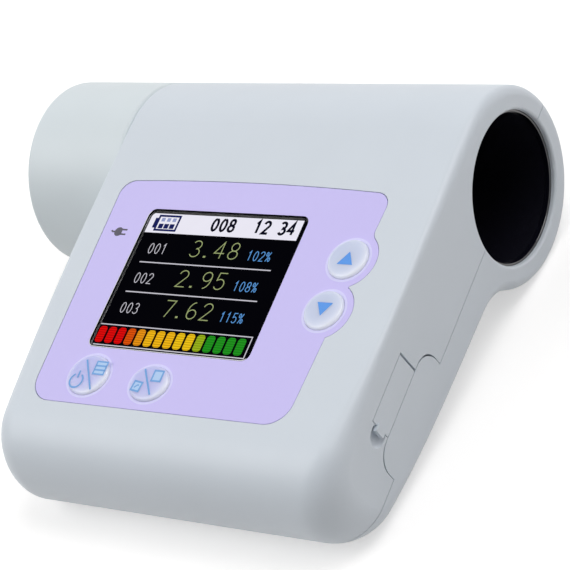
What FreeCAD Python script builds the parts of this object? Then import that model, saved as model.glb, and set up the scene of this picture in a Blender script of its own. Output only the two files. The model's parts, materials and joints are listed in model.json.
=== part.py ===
import FreeCAD, Part
import math
import os
import Sketcher
from FreeCAD import Placement, Rotation, Vector

# A pocket spirometer: a slab-shaped case whose top edge is a round breathing tube. A turbine
# cartridge slides into the tube from the left, a colour display with four keys fills the front,
# and a hinged cover hides the charging socket in the right side.
#
# Device frame, in millimetres: X runs along the tube to the right and is 0 at the tube's right
# end, Y runs up the display and is 0 on the tube's axis, and Z points out of the display and is 0
# on the tube's axis. The finished pieces are then laid on their back, as the device lies on a
# table: the tube and the rounded lower end rest on Z = 0.

doc = FreeCAD.newDocument("spirometer")
sheet = doc.addObject("Spreadsheet::Sheet", "Sizes")
pieces = []

ALONG_X = Rotation(Vector(0, 1, 0), 90)
ALONG_Z = Rotation()
PROFILE_PLANE = Rotation(Vector(1, 1, 1), 120)
MARGIN = 5.0


class Size:
    """A number together with the formula that gives it from the sheet's named cells."""

    def __init__(self, number, formula=None):
        self.number = float(number)
        self.formula = formula or repr(float(number))

    def join(self, sign, other, number):
        return Size(number, "(%s %s %s)" % (self.formula, sign, other.formula))

    def __add__(self, other):
        other = as_size(other)
        return self.join("+", other, self.number + other.number)

    def __radd__(self, other):
        return as_size(other) + self

    def __sub__(self, other):
        other = as_size(other)
        return self.join("-", other, self.number - other.number)

    def __rsub__(self, other):
        return as_size(other) - self

    def __mul__(self, other):
        other = as_size(other)
        return self.join("*", other, self.number * other.number)

    def __rmul__(self, other):
        return as_size(other) * self

    def __truediv__(self, other):
        other = as_size(other)
        return self.join("/", other, self.number / other.number)

    def __neg__(self):
        return as_size(0) - self


def as_size(value):
    return value if isinstance(value, Size) else Size(value)


def size(alias, number):
    """Writes one driving dimension into the sheet and returns it."""
    size.row += 1
    sheet.set("A%d" % size.row, alias)
    sheet.set("B%d" % size.row, str(number))
    sheet.setAlias("B%d" % size.row, alias)
    return Size(number, "Sizes." + alias)


size.row = 0

# Case
tube_radius = size("tube_radius", 18.0)
body_width = size("body_width", 76.0)
body_drop = size("body_drop", 73.4)
nose_radius = size("nose_radius", 10.9)
back_taper = size("back_taper", 2.9)
saddle_radius = size("saddle_radius", 9.0)
wall = size("wall", 2.0)
rim_round = size("rim_round", 1.8)
seam_round = size("seam_round", 0.4)
back_round = size("back_round", 2.5)
front_left_round = size("front_left_round", 5.5)
front_right_round = size("front_right_round", 4.0)
back_corner_round = size("back_corner_round", 4.4)
nose_round = size("nose_round", 7.6)
hollow_back_round = size("hollow_back_round", 0.9)
hollow_corner_round = size("hollow_corner_round", 3.9)
hollow_nose_round = size("hollow_nose_round", 4.9)
parting_height = size("parting_height", 1.5)
seam_gap = size("seam_gap", 0.16)
guide_wall = size("guide_wall", 2.8)
rim_depth = size("rim_depth", 1.8)
outlet_rim = size("outlet_rim", 4.3)
outlet_round = size("outlet_round", 0.5)

# Turbine cartridge
collar_length = size("collar_length", 24.2)
collar_gap = size("collar_gap", 0.16)
collar_round = size("collar_round", 1.0)
collar_seam_round = size("collar_seam_round", 0.9)
collar_wall = size("collar_wall", 3.9)
socket_depth = size("socket_depth", 17.0)
barrel_inset = size("barrel_inset", 3.6)
barrel_wall = size("barrel_wall", 1.2)
barrel_seat = size("barrel_seat", 5.0)
barrel_end_gap = size("barrel_end_gap", 0.3)
slide_clearance = size("slide_clearance", 0.12)
seat_clearance = size("seat_clearance", 0.04)
rotor_setback = size("rotor_setback", 44.0)
stator_reach = size("stator_reach", 14.0)
stator_length = size("stator_length", 10.0)
stator_ring_wall = size("stator_ring_wall", 0.8)
hub_radius = size("hub_radius", 2.6)
hub_nose = size("hub_nose", 2.2)
blade_thickness = size("blade_thickness", 0.8)
blade_twist = size("blade_twist", 50.0)
blade_count = size("blade_count", 6)
jewel_radius = size("jewel_radius", 1.2)
jewel_length = size("jewel_length", 1.4)
shaft_radius = size("shaft_radius", 0.4)
shaft_clearance = size("shaft_clearance", 0.05)
shaft_end_play = size("shaft_end_play", 0.2)
vane_length = size("vane_length", 16.0)
vane_tip_gap = size("vane_tip_gap", 1.4)
vane_thickness = size("vane_thickness", 0.4)
vane_hub_radius = size("vane_hub_radius", 0.9)

# Beam ring around the tube
beam_pocket_width = size("beam_pocket_width", 10.0)
beam_skin = size("beam_skin", 0.8)
beam_pocket_depth = size("beam_pocket_depth", 1.6)
beam_window_radius = size("beam_window_radius", 1.2)
flex_thickness = size("flex_thickness", 0.2)
flex_gap = size("flex_gap", 0.15)
diode_length = size("diode_length", 3.2)
diode_width = size("diode_width", 1.6)
diode_height = size("diode_height", 1.0)
beam_tail_width = size("beam_tail_width", 4.0)
beam_tail_height = size("beam_tail_height", 4.8)

# Display
window_width = size("window_width", 36.0)
window_height = size("window_height", 29.2)
window_shift_x = size("window_shift_x", -5.2)
window_shift_y = size("window_shift_y", 2.55)
window_round = size("window_round", 1.5)
lens_gap = size("lens_gap", 0.1)
gasket_thickness = size("gasket_thickness", 0.3)
gasket_lip = size("gasket_lip", 0.4)
glass_border = size("glass_border", 0.5)
glass_thickness = size("glass_thickness", 1.2)
backlight_thickness = size("backlight_thickness", 1.6)
frame_sheet = size("frame_sheet", 0.4)
module_gap = size("module_gap", 0.2)
display_flex_width = size("display_flex_width", 12.0)
display_flex_bulge = size("display_flex_bulge", 1.1)
display_flex_reach = size("display_flex_reach", 4.0)
display_flex_drop = size("display_flex_drop", 0.6)

# Front panel film
film_thickness = size("film_thickness", 0.45)
film_recess = size("film_recess", 0.5)
film_gap = size("film_gap", 0.12)
film_top_left_inset = size("film_top_left_inset", 5.4)
film_top_left_rise = size("film_top_left_rise", 5.85)
film_top_right_inset = size("film_top_right_inset", 10.3)
film_top_right_rise = size("film_top_right_rise", 5.35)
film_bottom_right_inset = size("film_bottom_right_inset", 12.5)
film_bottom_right_drop = size("film_bottom_right_drop", 11.15)
film_bottom_left_inset = size("film_bottom_left_inset", 7.2)
film_bottom_left_drop = size("film_bottom_left_drop", 11.55)
film_bow = size("film_bow", 550.0)
film_top_round = size("film_top_round", 3.0)
film_bottom_round = size("film_bottom_round", 4.6)
film_key_border = size("film_key_border", 1.7)
film_swell_round = size("film_swell_round", 2.2)

# Keys
up_key_inset = size("up_key_inset", 13.5)
up_key_rise = size("up_key_rise", 6.45)
up_key_radius = size("up_key_radius", 3.9)
down_key_inset = size("down_key_inset", 14.0)
down_key_drop = size("down_key_drop", 3.75)
down_key_radius = size("down_key_radius", 3.8)
power_key_inset = size("power_key_inset", 3.8)
power_key_drop = size("power_key_drop", 5.85)
power_key_half_width = size("power_key_half_width", 4.4)
power_key_half_height = size("power_key_half_height", 4.0)
confirm_key_shift = size("confirm_key_shift", -0.1)
confirm_key_drop = size("confirm_key_drop", 6.25)
confirm_key_half_width = size("confirm_key_half_width", 4.2)
confirm_key_half_height = size("confirm_key_half_height", 3.5)
key_gap = size("key_gap", 0.1)
key_rise = size("key_rise", 0.55)
key_round = size("key_round", 0.55)
key_flange = size("key_flange", 0.5)
key_flange_thickness = size("key_flange_thickness", 1.2)
key_flange_gap = size("key_flange_gap", 0.1)
key_travel = size("key_travel", 0.5)
stem_radius = size("stem_radius", 1.6)
switch_width = size("switch_width", 6.0)
switch_height = size("switch_height", 3.4)
plunger_radius = size("plunger_radius", 1.7)
plunger_rise = size("plunger_rise", 1.2)
plunger_gap = size("plunger_gap", 0.2)

# Main board and what sits on it
board_setback = size("board_setback", 8.0)
board_thickness = size("board_thickness", 1.2)
board_edge_gap = size("board_edge_gap", 1.4)
board_top_y = size("board_top_y", -19.4)
board_bottom_inset = size("board_bottom_inset", 7.4)
chip_width = size("chip_width", 10.0)
chip_height = size("chip_height", 1.4)
chip_shift = size("chip_shift", -8.0)
buzzer_shift = size("buzzer_shift", 12.0)
board_parts_rise = size("board_parts_rise", 4.0)
buzzer_radius = size("buzzer_radius", 4.5)
buzzer_height = size("buzzer_height", 3.0)
header_width = size("header_width", 6.0)
header_depth = size("header_depth", 3.2)
header_height = size("header_height", 1.6)
battery_header_shift = size("battery_header_shift", 2.4)
battery_header_rise = size("battery_header_rise", 8.0)
light_shift = size("light_shift", -0.5)
light_drop = size("light_drop", 3.3)
light_radius = size("light_radius", 1.2)
light_gap = size("light_gap", 0.1)
light_flange = size("light_flange", 0.7)
led_height = size("led_height", 0.8)
led_width = size("led_width", 1.6)

# Charging socket and its cover
usb_drop = size("usb_drop", 13.85)
usb_width = size("usb_width", 7.7)
usb_height = size("usb_height", 3.9)
usb_depth = size("usb_depth", 9.0)
usb_sheet = size("usb_sheet", 0.4)
usb_wall_gap = size("usb_wall_gap", 0.3)
usb_window_gap = size("usb_window_gap", 0.4)
tongue_thickness = size("tongue_thickness", 0.9)
cover_length = size("cover_length", 12.8)
cover_width = size("cover_width", 5.3)
cover_thickness = size("cover_thickness", 1.2)
cover_gap = size("cover_gap", 0.15)
cover_pin_radius = size("cover_pin_radius", 0.3)
cover_pin_bite = size("cover_pin_bite", 1.0)
cover_lip = size("cover_lip", 1.0)
cover_lip_width = size("cover_lip_width", 2.4)
cover_lip_rise = size("cover_lip_rise", 0.3)
cover_lip_depth = size("cover_lip_depth", 0.4)
scoop_radius = size("scoop_radius", 2.4)
scoop_depth = size("scoop_depth", 1.3)
tab_overhang = size("tab_overhang", 4.6)
tab_round = size("tab_round", 4.1)
tab_hole_round = size("tab_hole_round", 3.8)

# Battery
battery_length = size("battery_length", 48.0)
battery_width = size("battery_width", 31.0)
battery_headroom = size("battery_headroom", 3.4)
battery_shift_x = size("battery_shift_x", -1.0)
battery_shift_y = size("battery_shift_y", -5.3)
battery_round = size("battery_round", 1.4)
rib_width = size("rib_width", 1.2)
rib_pitch = size("rib_pitch", 18.0)

# Screws
screw_top_inset = size("screw_top_inset", 6.0)
screw_bottom_inset = size("screw_bottom_inset", 8.5)
screw_top_y = size("screw_top_y", -21.6)
screw_bottom_rise = size("screw_bottom_rise", 11.0)
screw_radius = size("screw_radius", 1.2)
screw_head_radius = size("screw_head_radius", 2.2)
screw_head_height = size("screw_head_height", 1.5)
screw_length = size("screw_length", 9.5)
screw_gap = size("screw_gap", 0.08)
screw_head_gap = size("screw_head_gap", 0.3)
screw_seat_depth = size("screw_seat_depth", 2.6)
boss_radius = size("boss_radius", 2.8)
rear_boss_radius = size("rear_boss_radius", 3.6)
boss_board_gap = size("boss_board_gap", 0.4)
board_screw_radius = size("board_screw_radius", 0.9)
board_screw_head_radius = size("board_screw_head_radius", 1.8)
board_screw_head_height = size("board_screw_head_height", 1.3)
board_screw_length = size("board_screw_length", 5.0)
board_boss_radius = size("board_boss_radius", 2.0)
board_screw_left_inset = size("board_screw_left_inset", 6.4)
board_screw_left_drop = size("board_screw_left_drop", 5.85)
board_screw_right_inset = size("board_screw_right_inset", 7.0)
board_screw_right_rise = size("board_screw_right_rise", 1.15)
board_screw_low_shift = size("board_screw_low_shift", 6.0)
board_screw_low_rise = size("board_screw_low_rise", 12.4)

doc.recompute()

# Places that several pieces share
nose_y = nose_radius - body_drop
nose_z = tube_radius - nose_radius
nose_back = nose_z - nose_radius
front_inside = tube_radius - wall
film_floor = tube_radius - film_recess
film_top = film_floor + film_thickness
outlet_radius = tube_radius - outlet_rim
socket_radius = tube_radius - collar_wall
barrel_radius = tube_radius - barrel_inset
bore_radius = barrel_radius + slide_clearance
guide_radius = bore_radius + guide_wall
airway_radius = barrel_radius - barrel_wall
collar_right = -(body_width + collar_gap)
collar_left = collar_right - collar_length
socket_floor = collar_left + socket_depth
barrel_left = collar_right - barrel_seat
barrel_right = -(rim_depth + barrel_end_gap)
rotor_x = -rotor_setback
board_front = front_inside - board_setback
board_back = board_front - board_thickness
board_bottom_y = board_bottom_inset - body_drop
glass_top = film_floor - gasket_thickness
glass_bottom = glass_top - glass_thickness
backlight_bottom = glass_bottom - backlight_thickness
flange_top = front_inside - key_flange_gap
flange_bottom = flange_top - key_flange_thickness
switch_top = board_front + switch_height
plunger_top = switch_top + plunger_rise
window_centre_x = window_shift_x - body_width / 2
window_centre_y = window_shift_y - body_drop / 2
window_left = window_centre_x - window_width / 2
window_bottom = window_centre_y - window_height / 2
window_top = window_centre_y + window_height / 2
film_top_left_x = film_top_left_inset - body_width
light_x = (film_top_left_x + window_left) / 2 + light_shift
light_y = screw_top_y - light_drop
battery_x = battery_shift_x - body_width / 2
battery_y = battery_shift_y - body_drop / 2
battery_floor = nose_back + wall
battery_top = board_back - battery_headroom
screw_seat = nose_back + screw_seat_depth
usb_y = window_centre_y - usb_drop
usb_z = board_front + usb_height / 2
cover_low_z = usb_z - cover_width / 2
cover_high_z = usb_z + cover_width / 2
hinge_y = usb_y + cover_length / 2 - cover_thickness / 2
hinge_x = -cover_thickness / 2
tab_top = cover_low_z - cover_gap
cover_bottom_y = usb_y - cover_length / 2

KEYS = {
    "up": (-up_key_inset, window_centre_y + up_key_rise, up_key_radius, up_key_radius),
    "down": (-down_key_inset, window_centre_y - down_key_drop, down_key_radius, down_key_radius),
    "power": (window_left + power_key_inset, window_bottom - power_key_drop, power_key_half_width,
              power_key_half_height),
    "confirm": (window_centre_x + confirm_key_shift, window_bottom - confirm_key_drop,
                confirm_key_half_width, confirm_key_half_height),
}
CASE_SCREWS = [
    (x, y)
    for inset, y in ((screw_top_inset, screw_top_y), (screw_bottom_inset, screw_bottom_rise - body_drop))
    for x in (-inset, inset - body_width)
]
BOARD_SCREWS = [
    (board_screw_left_inset - body_width, window_centre_y - board_screw_left_drop),
    (-board_screw_right_inset, window_centre_y + board_screw_right_rise),
    (board_screw_low_shift - body_width / 2, board_screw_low_rise - body_drop),
]


def bind(item, field, value):
    """Ties one property of an object to the sheet."""
    item.setExpression(field, as_size(value).formula)


def bind_place(item, place, turn=ALONG_Z):
    item.Placement = Placement(Vector(*[as_size(p).number for p in place]), turn)
    for axis, value in zip("xyz", place):
        bind(item, "Placement.Base." + axis, value)


def box(name, low, high):
    """A block between two opposite corners."""
    item = doc.addObject("Part::Box", name)
    for field, start, end in zip(("Length", "Width", "Height"), low, high):
        bind(item, field, as_size(end) - start)
    bind_place(item, low)
    return item


def rod(name, radius, start, length, turn=ALONG_Z):
    """A round bar from its start point, along Z or, with turn, along X."""
    item = doc.addObject("Part::Cylinder", name)
    bind(item, "Radius", radius)
    bind(item, "Height", length)
    bind_place(item, start, turn)
    return item


def ball(name, radius, centre):
    item = doc.addObject("Part::Sphere", name)
    bind(item, "Radius", radius)
    bind_place(item, centre)
    return item


def oval_block(name, centre, half_x, half_y, low, high):
    """An upright block of oval section."""
    major, minor = (half_x, half_y) if half_x.number >= half_y.number else (half_y, half_x)
    oval = doc.addObject("Part::Ellipse", name + "_oval")
    bind(oval, "MajorRadius", major)
    bind(oval, "MinorRadius", minor)
    bind_place(oval, (centre[0], centre[1], low))
    item = doc.addObject("Part::Extrusion", name)
    item.Base = oval
    item.DirMode = "Custom"
    item.Dir = Vector(0, 0, 1)
    item.Solid = True
    bind(item, "LengthFwd", as_size(high) - low)
    return item


def fuse(name, items):
    item = doc.addObject("Part::MultiFuse", name)
    item.Shapes = items
    item.Refine = True
    return item


def cut(name, base, tool):
    item = doc.addObject("Part::Cut", name)
    item.Base = base
    item.Tool = tool
    item.Refine = True
    return item


def common(name, items):
    item = doc.addObject("Part::MultiCommon", name)
    item.Shapes = items
    item.Refine = True
    return item


def group(name, items):
    """Separate solids that share one node."""
    item = doc.addObject("Part::Compound", name)
    item.Links = items
    return item


def round_edges(name, base, pick, radius):
    """Rounds the edges that pick chooses, all with one radius."""
    doc.recompute()
    item = doc.addObject("Part::Fillet", name)
    item.Base = base
    value = as_size(radius).number
    item.Edges = [(i, value, value) for i, edge in enumerate(base.Shape.Edges, 1) if pick(edge)]
    return item


def finish(name, item):
    """Names a finished piece after its node and keeps it for the export."""
    item.Label = name
    pieces.append(item)
    return item


def upright(edge):
    """True for a straight edge along Z."""
    ends = [vertex.Point for vertex in edge.Vertexes]
    flat = math.hypot(ends[0].x - ends[-1].x, ends[0].y - ends[-1].y)
    return flat < 1e-6 and abs(ends[0].z - ends[-1].z) > 1e-6


def fix_point(sketch, geometry, end, x, y):
    """Fixes one end of a sketch line, on an axis or by sizes from the sheet."""
    for kind, axis, value in (("DistanceX", -2, x), ("DistanceY", -1, y)):
        value = as_size(value)
        if value.number == 0 and value.formula == repr(0.0):
            sketch.addConstraint(Sketcher.Constraint("PointOnObject", geometry, end, axis))
        else:
            index = sketch.addConstraint(Sketcher.Constraint(kind, geometry, end, value.number))
            sketch.setExpression("Constraints[%d]" % index, value.formula)


def new_body(name):
    return doc.addObject("PartDesign::Body", name + "_body")


def origin_item(body, role):
    return [item for item in body.Origin.OriginFeatures if item.Role == role][0]


def outline(body, name, role, points, lift=None, turn=None):
    """A closed sketch of straight lines on one of the body's planes, lifted off it or turned."""
    sketch = body.newObject("Sketcher::SketchObject", name)
    sketch.AttachmentSupport = [(origin_item(body, role), "")]
    sketch.MapMode = "FlatFace"
    if turn is not None:
        sketch.AttachmentOffset = Placement(Vector(), Rotation(Vector(0, 0, 1), turn.number))
        bind(sketch, "AttachmentOffset.Rotation.Angle", turn)
    if lift is not None:
        bind(sketch, "AttachmentOffset.Base.z", lift)
    corners = [Vector(as_size(x).number, as_size(y).number, 0) for x, y in points]
    for start, end in zip(corners, corners[1:] + corners[:1]):
        sketch.addGeometry(Part.LineSegment(start, end))
    for i, (x, y) in enumerate(points):
        sketch.addConstraint(Sketcher.Constraint("Coincident", i - 1 if i else len(points) - 1, 2, i, 1))
        fix_point(sketch, i, 1, x, y)
    return sketch


def turned(body, name, points):
    """A solid of revolution about X; points are (X, radius) pairs."""
    sketch = outline(body, name + "_outline", "XY_Plane", points)
    item = body.newObject("PartDesign::Revolution", name)
    item.Profile = sketch
    item.ReferenceAxis = (sketch, ["H_Axis"])
    item.Angle = 360
    body.Tip = item
    return item


def padded(body, name, role, points, length, lift=None, both_ways=False):
    sketch = outline(body, name + "_outline", role, points, lift)
    item = body.newObject("PartDesign::Pad", name)
    item.Profile = sketch
    bind(item, "Length", length)
    item.Midplane = both_ways
    body.Tip = item
    return item


def rounded(body, name, base, pick, radius):
    """Rounds chosen edges inside a body."""
    doc.recompute()
    chosen = ["Edge%d" % i for i, edge in enumerate(base.Shape.Edges, 1) if pick(edge)]
    item = body.newObject("PartDesign::Fillet", name)
    item.Base = (base, chosen)
    bind(item, "Radius", radius)
    body.Tip = item
    return item


def ring_edge(x, radius):
    """Picks the round edge of one radius about the tube's axis at one X."""
    def pick(edge):
        curve = edge.Curve
        return (
            isinstance(curve, Part.Circle)
            and abs(curve.Radius - radius.number) < 1e-4
            and abs(edge.Vertexes[0].Point.x - x.number) < 1e-4
        )
    return pick


# Case form: a round tube along the top, flat front, tapered back and a rounded lower end
def case_outline(name, inset):
    """The side profile, drawn inset from the case's skin."""
    tube = tube_radius - inset
    nose = nose_radius - inset
    saddle = saddle_radius + inset
    taper = math.radians(back_taper.number)
    up_back = Vector(math.cos(taper), -math.sin(taper), 0)
    outward = Vector(-math.sin(taper), -math.cos(taper), 0)
    nose_centre = Vector(nose_y.number, nose_z.number, 0)
    back_foot = nose_centre + outward * nose.number
    foot = back_foot + outward * saddle.number
    reach = (tube + saddle).number
    ahead = foot.dot(up_back)
    run = -ahead - math.sqrt(ahead ** 2 - foot.dot(foot) + reach ** 2)
    saddle_centre = foot + up_back * run
    back_top = back_foot + up_back * run
    tube_foot = math.atan2(saddle_centre.y, saddle_centre.x)

    sketch = doc.addObject("Sketcher::SketchObject", name)
    sketch.Placement = Placement(Vector(), PROFILE_PLANE)
    axis = Vector(0, 0, 1)
    tube_circle = Part.Circle(Vector(), axis, tube.number)
    nose_circle = Part.Circle(nose_centre, axis, nose.number)
    saddle_circle = Part.Circle(saddle_centre, axis, saddle.number)
    tube_top = Vector(0, tube.number, 0)
    nose_top = Vector(nose_y.number, tube.number, 0)
    sketch.addGeometry(Part.ArcOfCircle(tube_circle, tube_foot, math.pi / 2))
    sketch.addGeometry(Part.LineSegment(tube_top, nose_top))
    sketch.addGeometry(Part.ArcOfCircle(nose_circle, math.pi / 2, math.pi))
    sketch.addGeometry(Part.ArcOfCircle(nose_circle, math.pi, 1.5 * math.pi - taper))
    sketch.addGeometry(Part.LineSegment(back_foot, back_top))
    sketch.addGeometry(Part.ArcOfCircle(saddle_circle, tube_foot + math.pi, math.pi / 2 - taper))
    tube_arc, front, upper_nose, lower_nose, back, saddle_arc = range(6)
    start, end, centre = 1, 2, 3
    for ties in (
        ("Coincident", tube_arc, centre, -1, 1),
        ("Tangent", tube_arc, end, front, start),
        ("Horizontal", front),
        ("Tangent", front, end, upper_nose, start),
        ("Coincident", upper_nose, end, lower_nose, start),
        ("Coincident", upper_nose, centre, lower_nose, centre),
        ("Horizontal", upper_nose, centre, upper_nose, end),
        ("Tangent", lower_nose, end, back, start),
        ("Tangent", back, end, saddle_arc, end),
        ("Tangent", saddle_arc, start, tube_arc, start),
    ):
        sketch.addConstraint(Sketcher.Constraint(*ties))
    for tie, formula in (
        (("Radius", tube_arc, tube.number), tube.formula),
        (("Radius", upper_nose, nose.number), nose.formula),
        (("Radius", saddle_arc, saddle.number), saddle.formula),
        (("DistanceX", upper_nose, centre, nose_y.number), nose_y.formula),
        (("Angle", back, -taper), "-%s * 1 deg" % back_taper.formula),
    ):
        index = sketch.addConstraint(Sketcher.Constraint(*tie))
        sketch.setExpression("Constraints[%d]" % index, formula)
    return sketch


def case_form(name, inset, left, right, rims, fronts, rounds):
    """The profile as a solid, its end edges rounded more and more towards the lower end.

    rims are the rounds of the tube's left and right end, fronts those at the lower end of the flat
    front, and rounds those at the back's upper and lower end and at the tip of the lower end.
    """
    block = doc.addObject("Part::Extrusion", name + "_block")
    block.Base = case_outline(name + "_outline", inset)
    block.DirMode = "Custom"
    block.Dir = Vector(1, 0, 0)
    block.Solid = True
    bind(block, "LengthFwd", right - left)
    bind_place(block, (left, 0, 0))
    doc.recompute()
    tube = (tube_radius - inset).number
    lowest = (inset - body_drop).number
    upper_back, lower_back, tip = rounds

    def radius_at(point, side):
        if point.y < lowest + 1e-3:
            return tip.number
        if point.y < nose_y.number + 0.5:
            return (fronts[side] if point.z > nose_z.number else lower_back).number
        if abs(math.hypot(point.y, point.z) - tube) < 1e-3:
            return rims[side].number
        return upper_back.number

    edges = []
    for i, edge in enumerate(block.Shape.Edges, 1):
        first = edge.valueAt(edge.FirstParameter)
        last = edge.valueAt(edge.LastParameter)
        if abs(first.x - last.x) < 1e-6:
            side = 1 if abs(first.x - right.number) < 1e-3 else 0
            edges.append((i, radius_at(first, side), radius_at(last, side)))
    item = doc.addObject("Part::Fillet", name)
    item.Base = block
    item.Edges = edges
    return item


skin = case_form(
    "case_skin", as_size(0), -body_width, as_size(0),
    (seam_round, rim_round), (front_left_round, front_right_round), (back_round, back_corner_round, nose_round),
)
hollow = case_form(
    "case_hollow", wall, wall - body_width, -wall,
    (seam_round, seam_round), (hollow_corner_round, hollow_corner_round),
    (hollow_back_round, hollow_corner_round, hollow_nose_round),
)
guide = rod("bore_guide", guide_radius, (-body_width - MARGIN, 0, 0), body_width + 2 * MARGIN, ALONG_X)
slab_room = cut("slab_room", hollow, guide)
bore = rod("bore", bore_radius, (-body_width - MARGIN, 0, 0), body_width + MARGIN - rim_depth, ALONG_X)

outlet = new_body("outlet")
outlet_flare = outlet_radius + 2 * outlet_round
outlet_turned = turned(
    outlet,
    "outlet_turned",
    (
        (-rim_depth - MARGIN, 0),
        (-rim_depth - MARGIN, outlet_radius),
        (0, outlet_radius),
        (0, outlet_flare),
        (MARGIN, outlet_flare),
        (MARGIN, 0),
    ),
)
rounded(outlet, "outlet_edge", outlet_turned, ring_edge(as_size(0), outlet_radius), outlet_round)

# The beam ring's pocket runs round the bore; four windows let the beams through to the barrel
pocket_low = bore_radius + beam_skin
pocket_high = pocket_low + beam_pocket_depth
pocket_left = rotor_x - beam_pocket_width / 2
pocket_outer = rod("beam_pocket_outer", pocket_high, (pocket_left, 0, 0), beam_pocket_width, ALONG_X)
pocket_inner = rod("beam_pocket_inner", pocket_low, (pocket_left, 0, 0), beam_pocket_width, ALONG_X)
beam_pocket = cut("beam_pocket", pocket_outer, pocket_inner)
BEAM_ANGLES = (45.0, 135.0, 225.0, 315.0)


def beam_turn(angle):
    """Turns Z to the direction of a beam, square to the tube's axis."""
    return Rotation(Vector(1, 0, 0), 90 - angle)


def beam_window(index, angle):
    item = doc.addObject("Part::Cylinder", "beam_window_%d" % index)
    bind(item, "Radius", beam_window_radius)
    bind(item, "Height", pocket_high - 0.5)
    bind_place(item, (rotor_x, 0, 0), beam_turn(angle))
    return item


beam_windows = [beam_window(i, angle) for i, angle in enumerate(BEAM_ANGLES)]
tail_slot = box(
    "tail_slot",
    (rotor_x - beam_tail_width / 2 - flex_gap, -guide_radius - 1, beam_tail_height - flex_gap),
    (rotor_x + beam_tail_width / 2 + flex_gap, -pocket_low, beam_tail_height + flex_thickness + flex_gap),
)

# Socket opening and the seat of its cover, in the right side
cover_seat = box(
    "cover_seat",
    (-cover_thickness - cover_gap, cover_bottom_y - cover_gap, tab_top),
    (as_size(MARGIN), hinge_y + cover_thickness / 2 + cover_gap, cover_high_z + cover_gap),
)
usb_window = box(
    "usb_window",
    (-wall - 1, usb_y - usb_width / 2 - usb_window_gap, usb_z - usb_height / 2 - usb_window_gap),
    (as_size(MARGIN), usb_y + usb_width / 2 + usb_window_gap, usb_z + usb_height / 2 + usb_window_gap),
)
scoop = ball("scoop", scoop_radius, (scoop_radius - scoop_depth, cover_bottom_y - 1.2, usb_z))
cover_pin_hole = rod(
    "cover_pin_hole",
    cover_pin_radius + 0.02,
    (hinge_x, hinge_y, tab_top - cover_pin_bite),
    cover_high_z - cover_low_z + 2 * cover_gap + 2 * cover_pin_bite,
)


def tab_block(name, grow, radius):
    """The rear shell's tab that stands up beside the cover, its top corners rounded."""
    block = box(
        name + "_block",
        (-wall - grow, cover_bottom_y - tab_overhang - grow, parting_height - 1),
        (as_size(MARGIN), hinge_y + cover_thickness / 2 + tab_overhang + grow, tab_top + grow),
    )
    top = (tab_top + grow).number

    def pick(edge):
        ends = [vertex.Point for vertex in edge.Vertexes]
        along_x = abs(ends[0].x - ends[-1].x) > 1e-6
        return along_x and abs(ends[0].z - top) < 1e-6
    return round_edges(name, block, pick, radius)


tab_cut = tab_block("tab_cut", seam_gap, tab_hole_round)
tab = tab_block("tab", as_size(0), tab_round)


# Front panel film and the shallow recess it is laid in
def film_block(name, grow, low, high):
    """The film's outline: four slanted sides, the top one bowed, and a swell round two keys."""
    body = new_body(name)
    corners = (
        (film_top_left_x - grow, window_top + film_top_left_rise + grow),
        (grow - film_top_right_inset, window_top + film_top_right_rise + grow),
        (grow - film_bottom_right_inset, window_bottom - film_bottom_right_drop - grow),
        (film_bottom_left_inset - body_width - grow, window_bottom - film_bottom_left_drop - grow),
    )
    sketch = body.newObject("Sketcher::SketchObject", name + "_outline")
    sketch.AttachmentSupport = [(origin_item(body, "XY_Plane"), "")]
    sketch.MapMode = "FlatFace"
    bind(sketch, "AttachmentOffset.Base.z", low)
    places = [Vector(x.number, y.number, 0) for x, y in corners]
    chord = places[1] - places[0]
    middle = (places[0] + places[1]) * 0.5
    inward = Vector(chord.y, -chord.x, 0).normalize()
    sag = math.sqrt(film_bow.number ** 2 - (chord.Length / 2) ** 2)
    centre = middle + inward * sag
    arc = Part.Circle(centre, Vector(0, 0, 1), film_bow.number)
    to_left, to_right = places[0] - centre, places[1] - centre
    sketch.addGeometry(
        Part.ArcOfCircle(arc, math.atan2(to_right.y, to_right.x), math.atan2(to_left.y, to_left.x))
    )
    for start, end in ((1, 2), (2, 3), (3, 0)):
        sketch.addGeometry(Part.LineSegment(places[start], places[end]))
    for ties in (("Coincident", 0, 1, 1, 1), ("Coincident", 1, 2, 2, 1), ("Coincident", 2, 2, 3, 1),
                 ("Coincident", 3, 2, 0, 2)):
        sketch.addConstraint(Sketcher.Constraint(*ties))
    fix_point(sketch, 0, 2, *corners[0])
    fix_point(sketch, 1, 1, *corners[1])
    fix_point(sketch, 2, 1, *corners[2])
    fix_point(sketch, 3, 1, *corners[3])
    index = sketch.addConstraint(Sketcher.Constraint("Radius", 0, film_bow.number))
    sketch.setExpression("Constraints[%d]" % index, film_bow.formula)
    pad = body.newObject("PartDesign::Pad", name + "_pad")
    pad.Profile = sketch
    bind(pad, "Length", as_size(high) - low)
    body.Tip = pad

    def near(y_test):
        return lambda edge: upright(edge) and y_test(edge.Vertexes[0].Point.y)
    high_corners = near(lambda y: y > window_centre_y.number)
    low_corners = near(lambda y: y < window_centre_y.number)
    top = rounded(body, name + "_top_corners", pad, high_corners, film_top_round)
    rounded(body, name + "_low_corners", top, low_corners, film_bottom_round)
    swells = [
        rod("%s_%s_swell" % (name, key), KEYS[key][2] + film_key_border + grow,
            (KEYS[key][0], KEYS[key][1], low), as_size(high) - low)
        for key in ("up", "down")
    ]
    plan = fuse(name + "_plan", [body] + swells)
    swell_top = (KEYS["up"][1] + KEYS["up"][2]).number

    def above_swell(edge):
        return upright(edge) and swell_top - 1 < edge.Vertexes[0].Point.y < swell_top + film_key_border.number
    return round_edges(name + "_softened", plan, above_swell, film_swell_round - grow)


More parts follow.
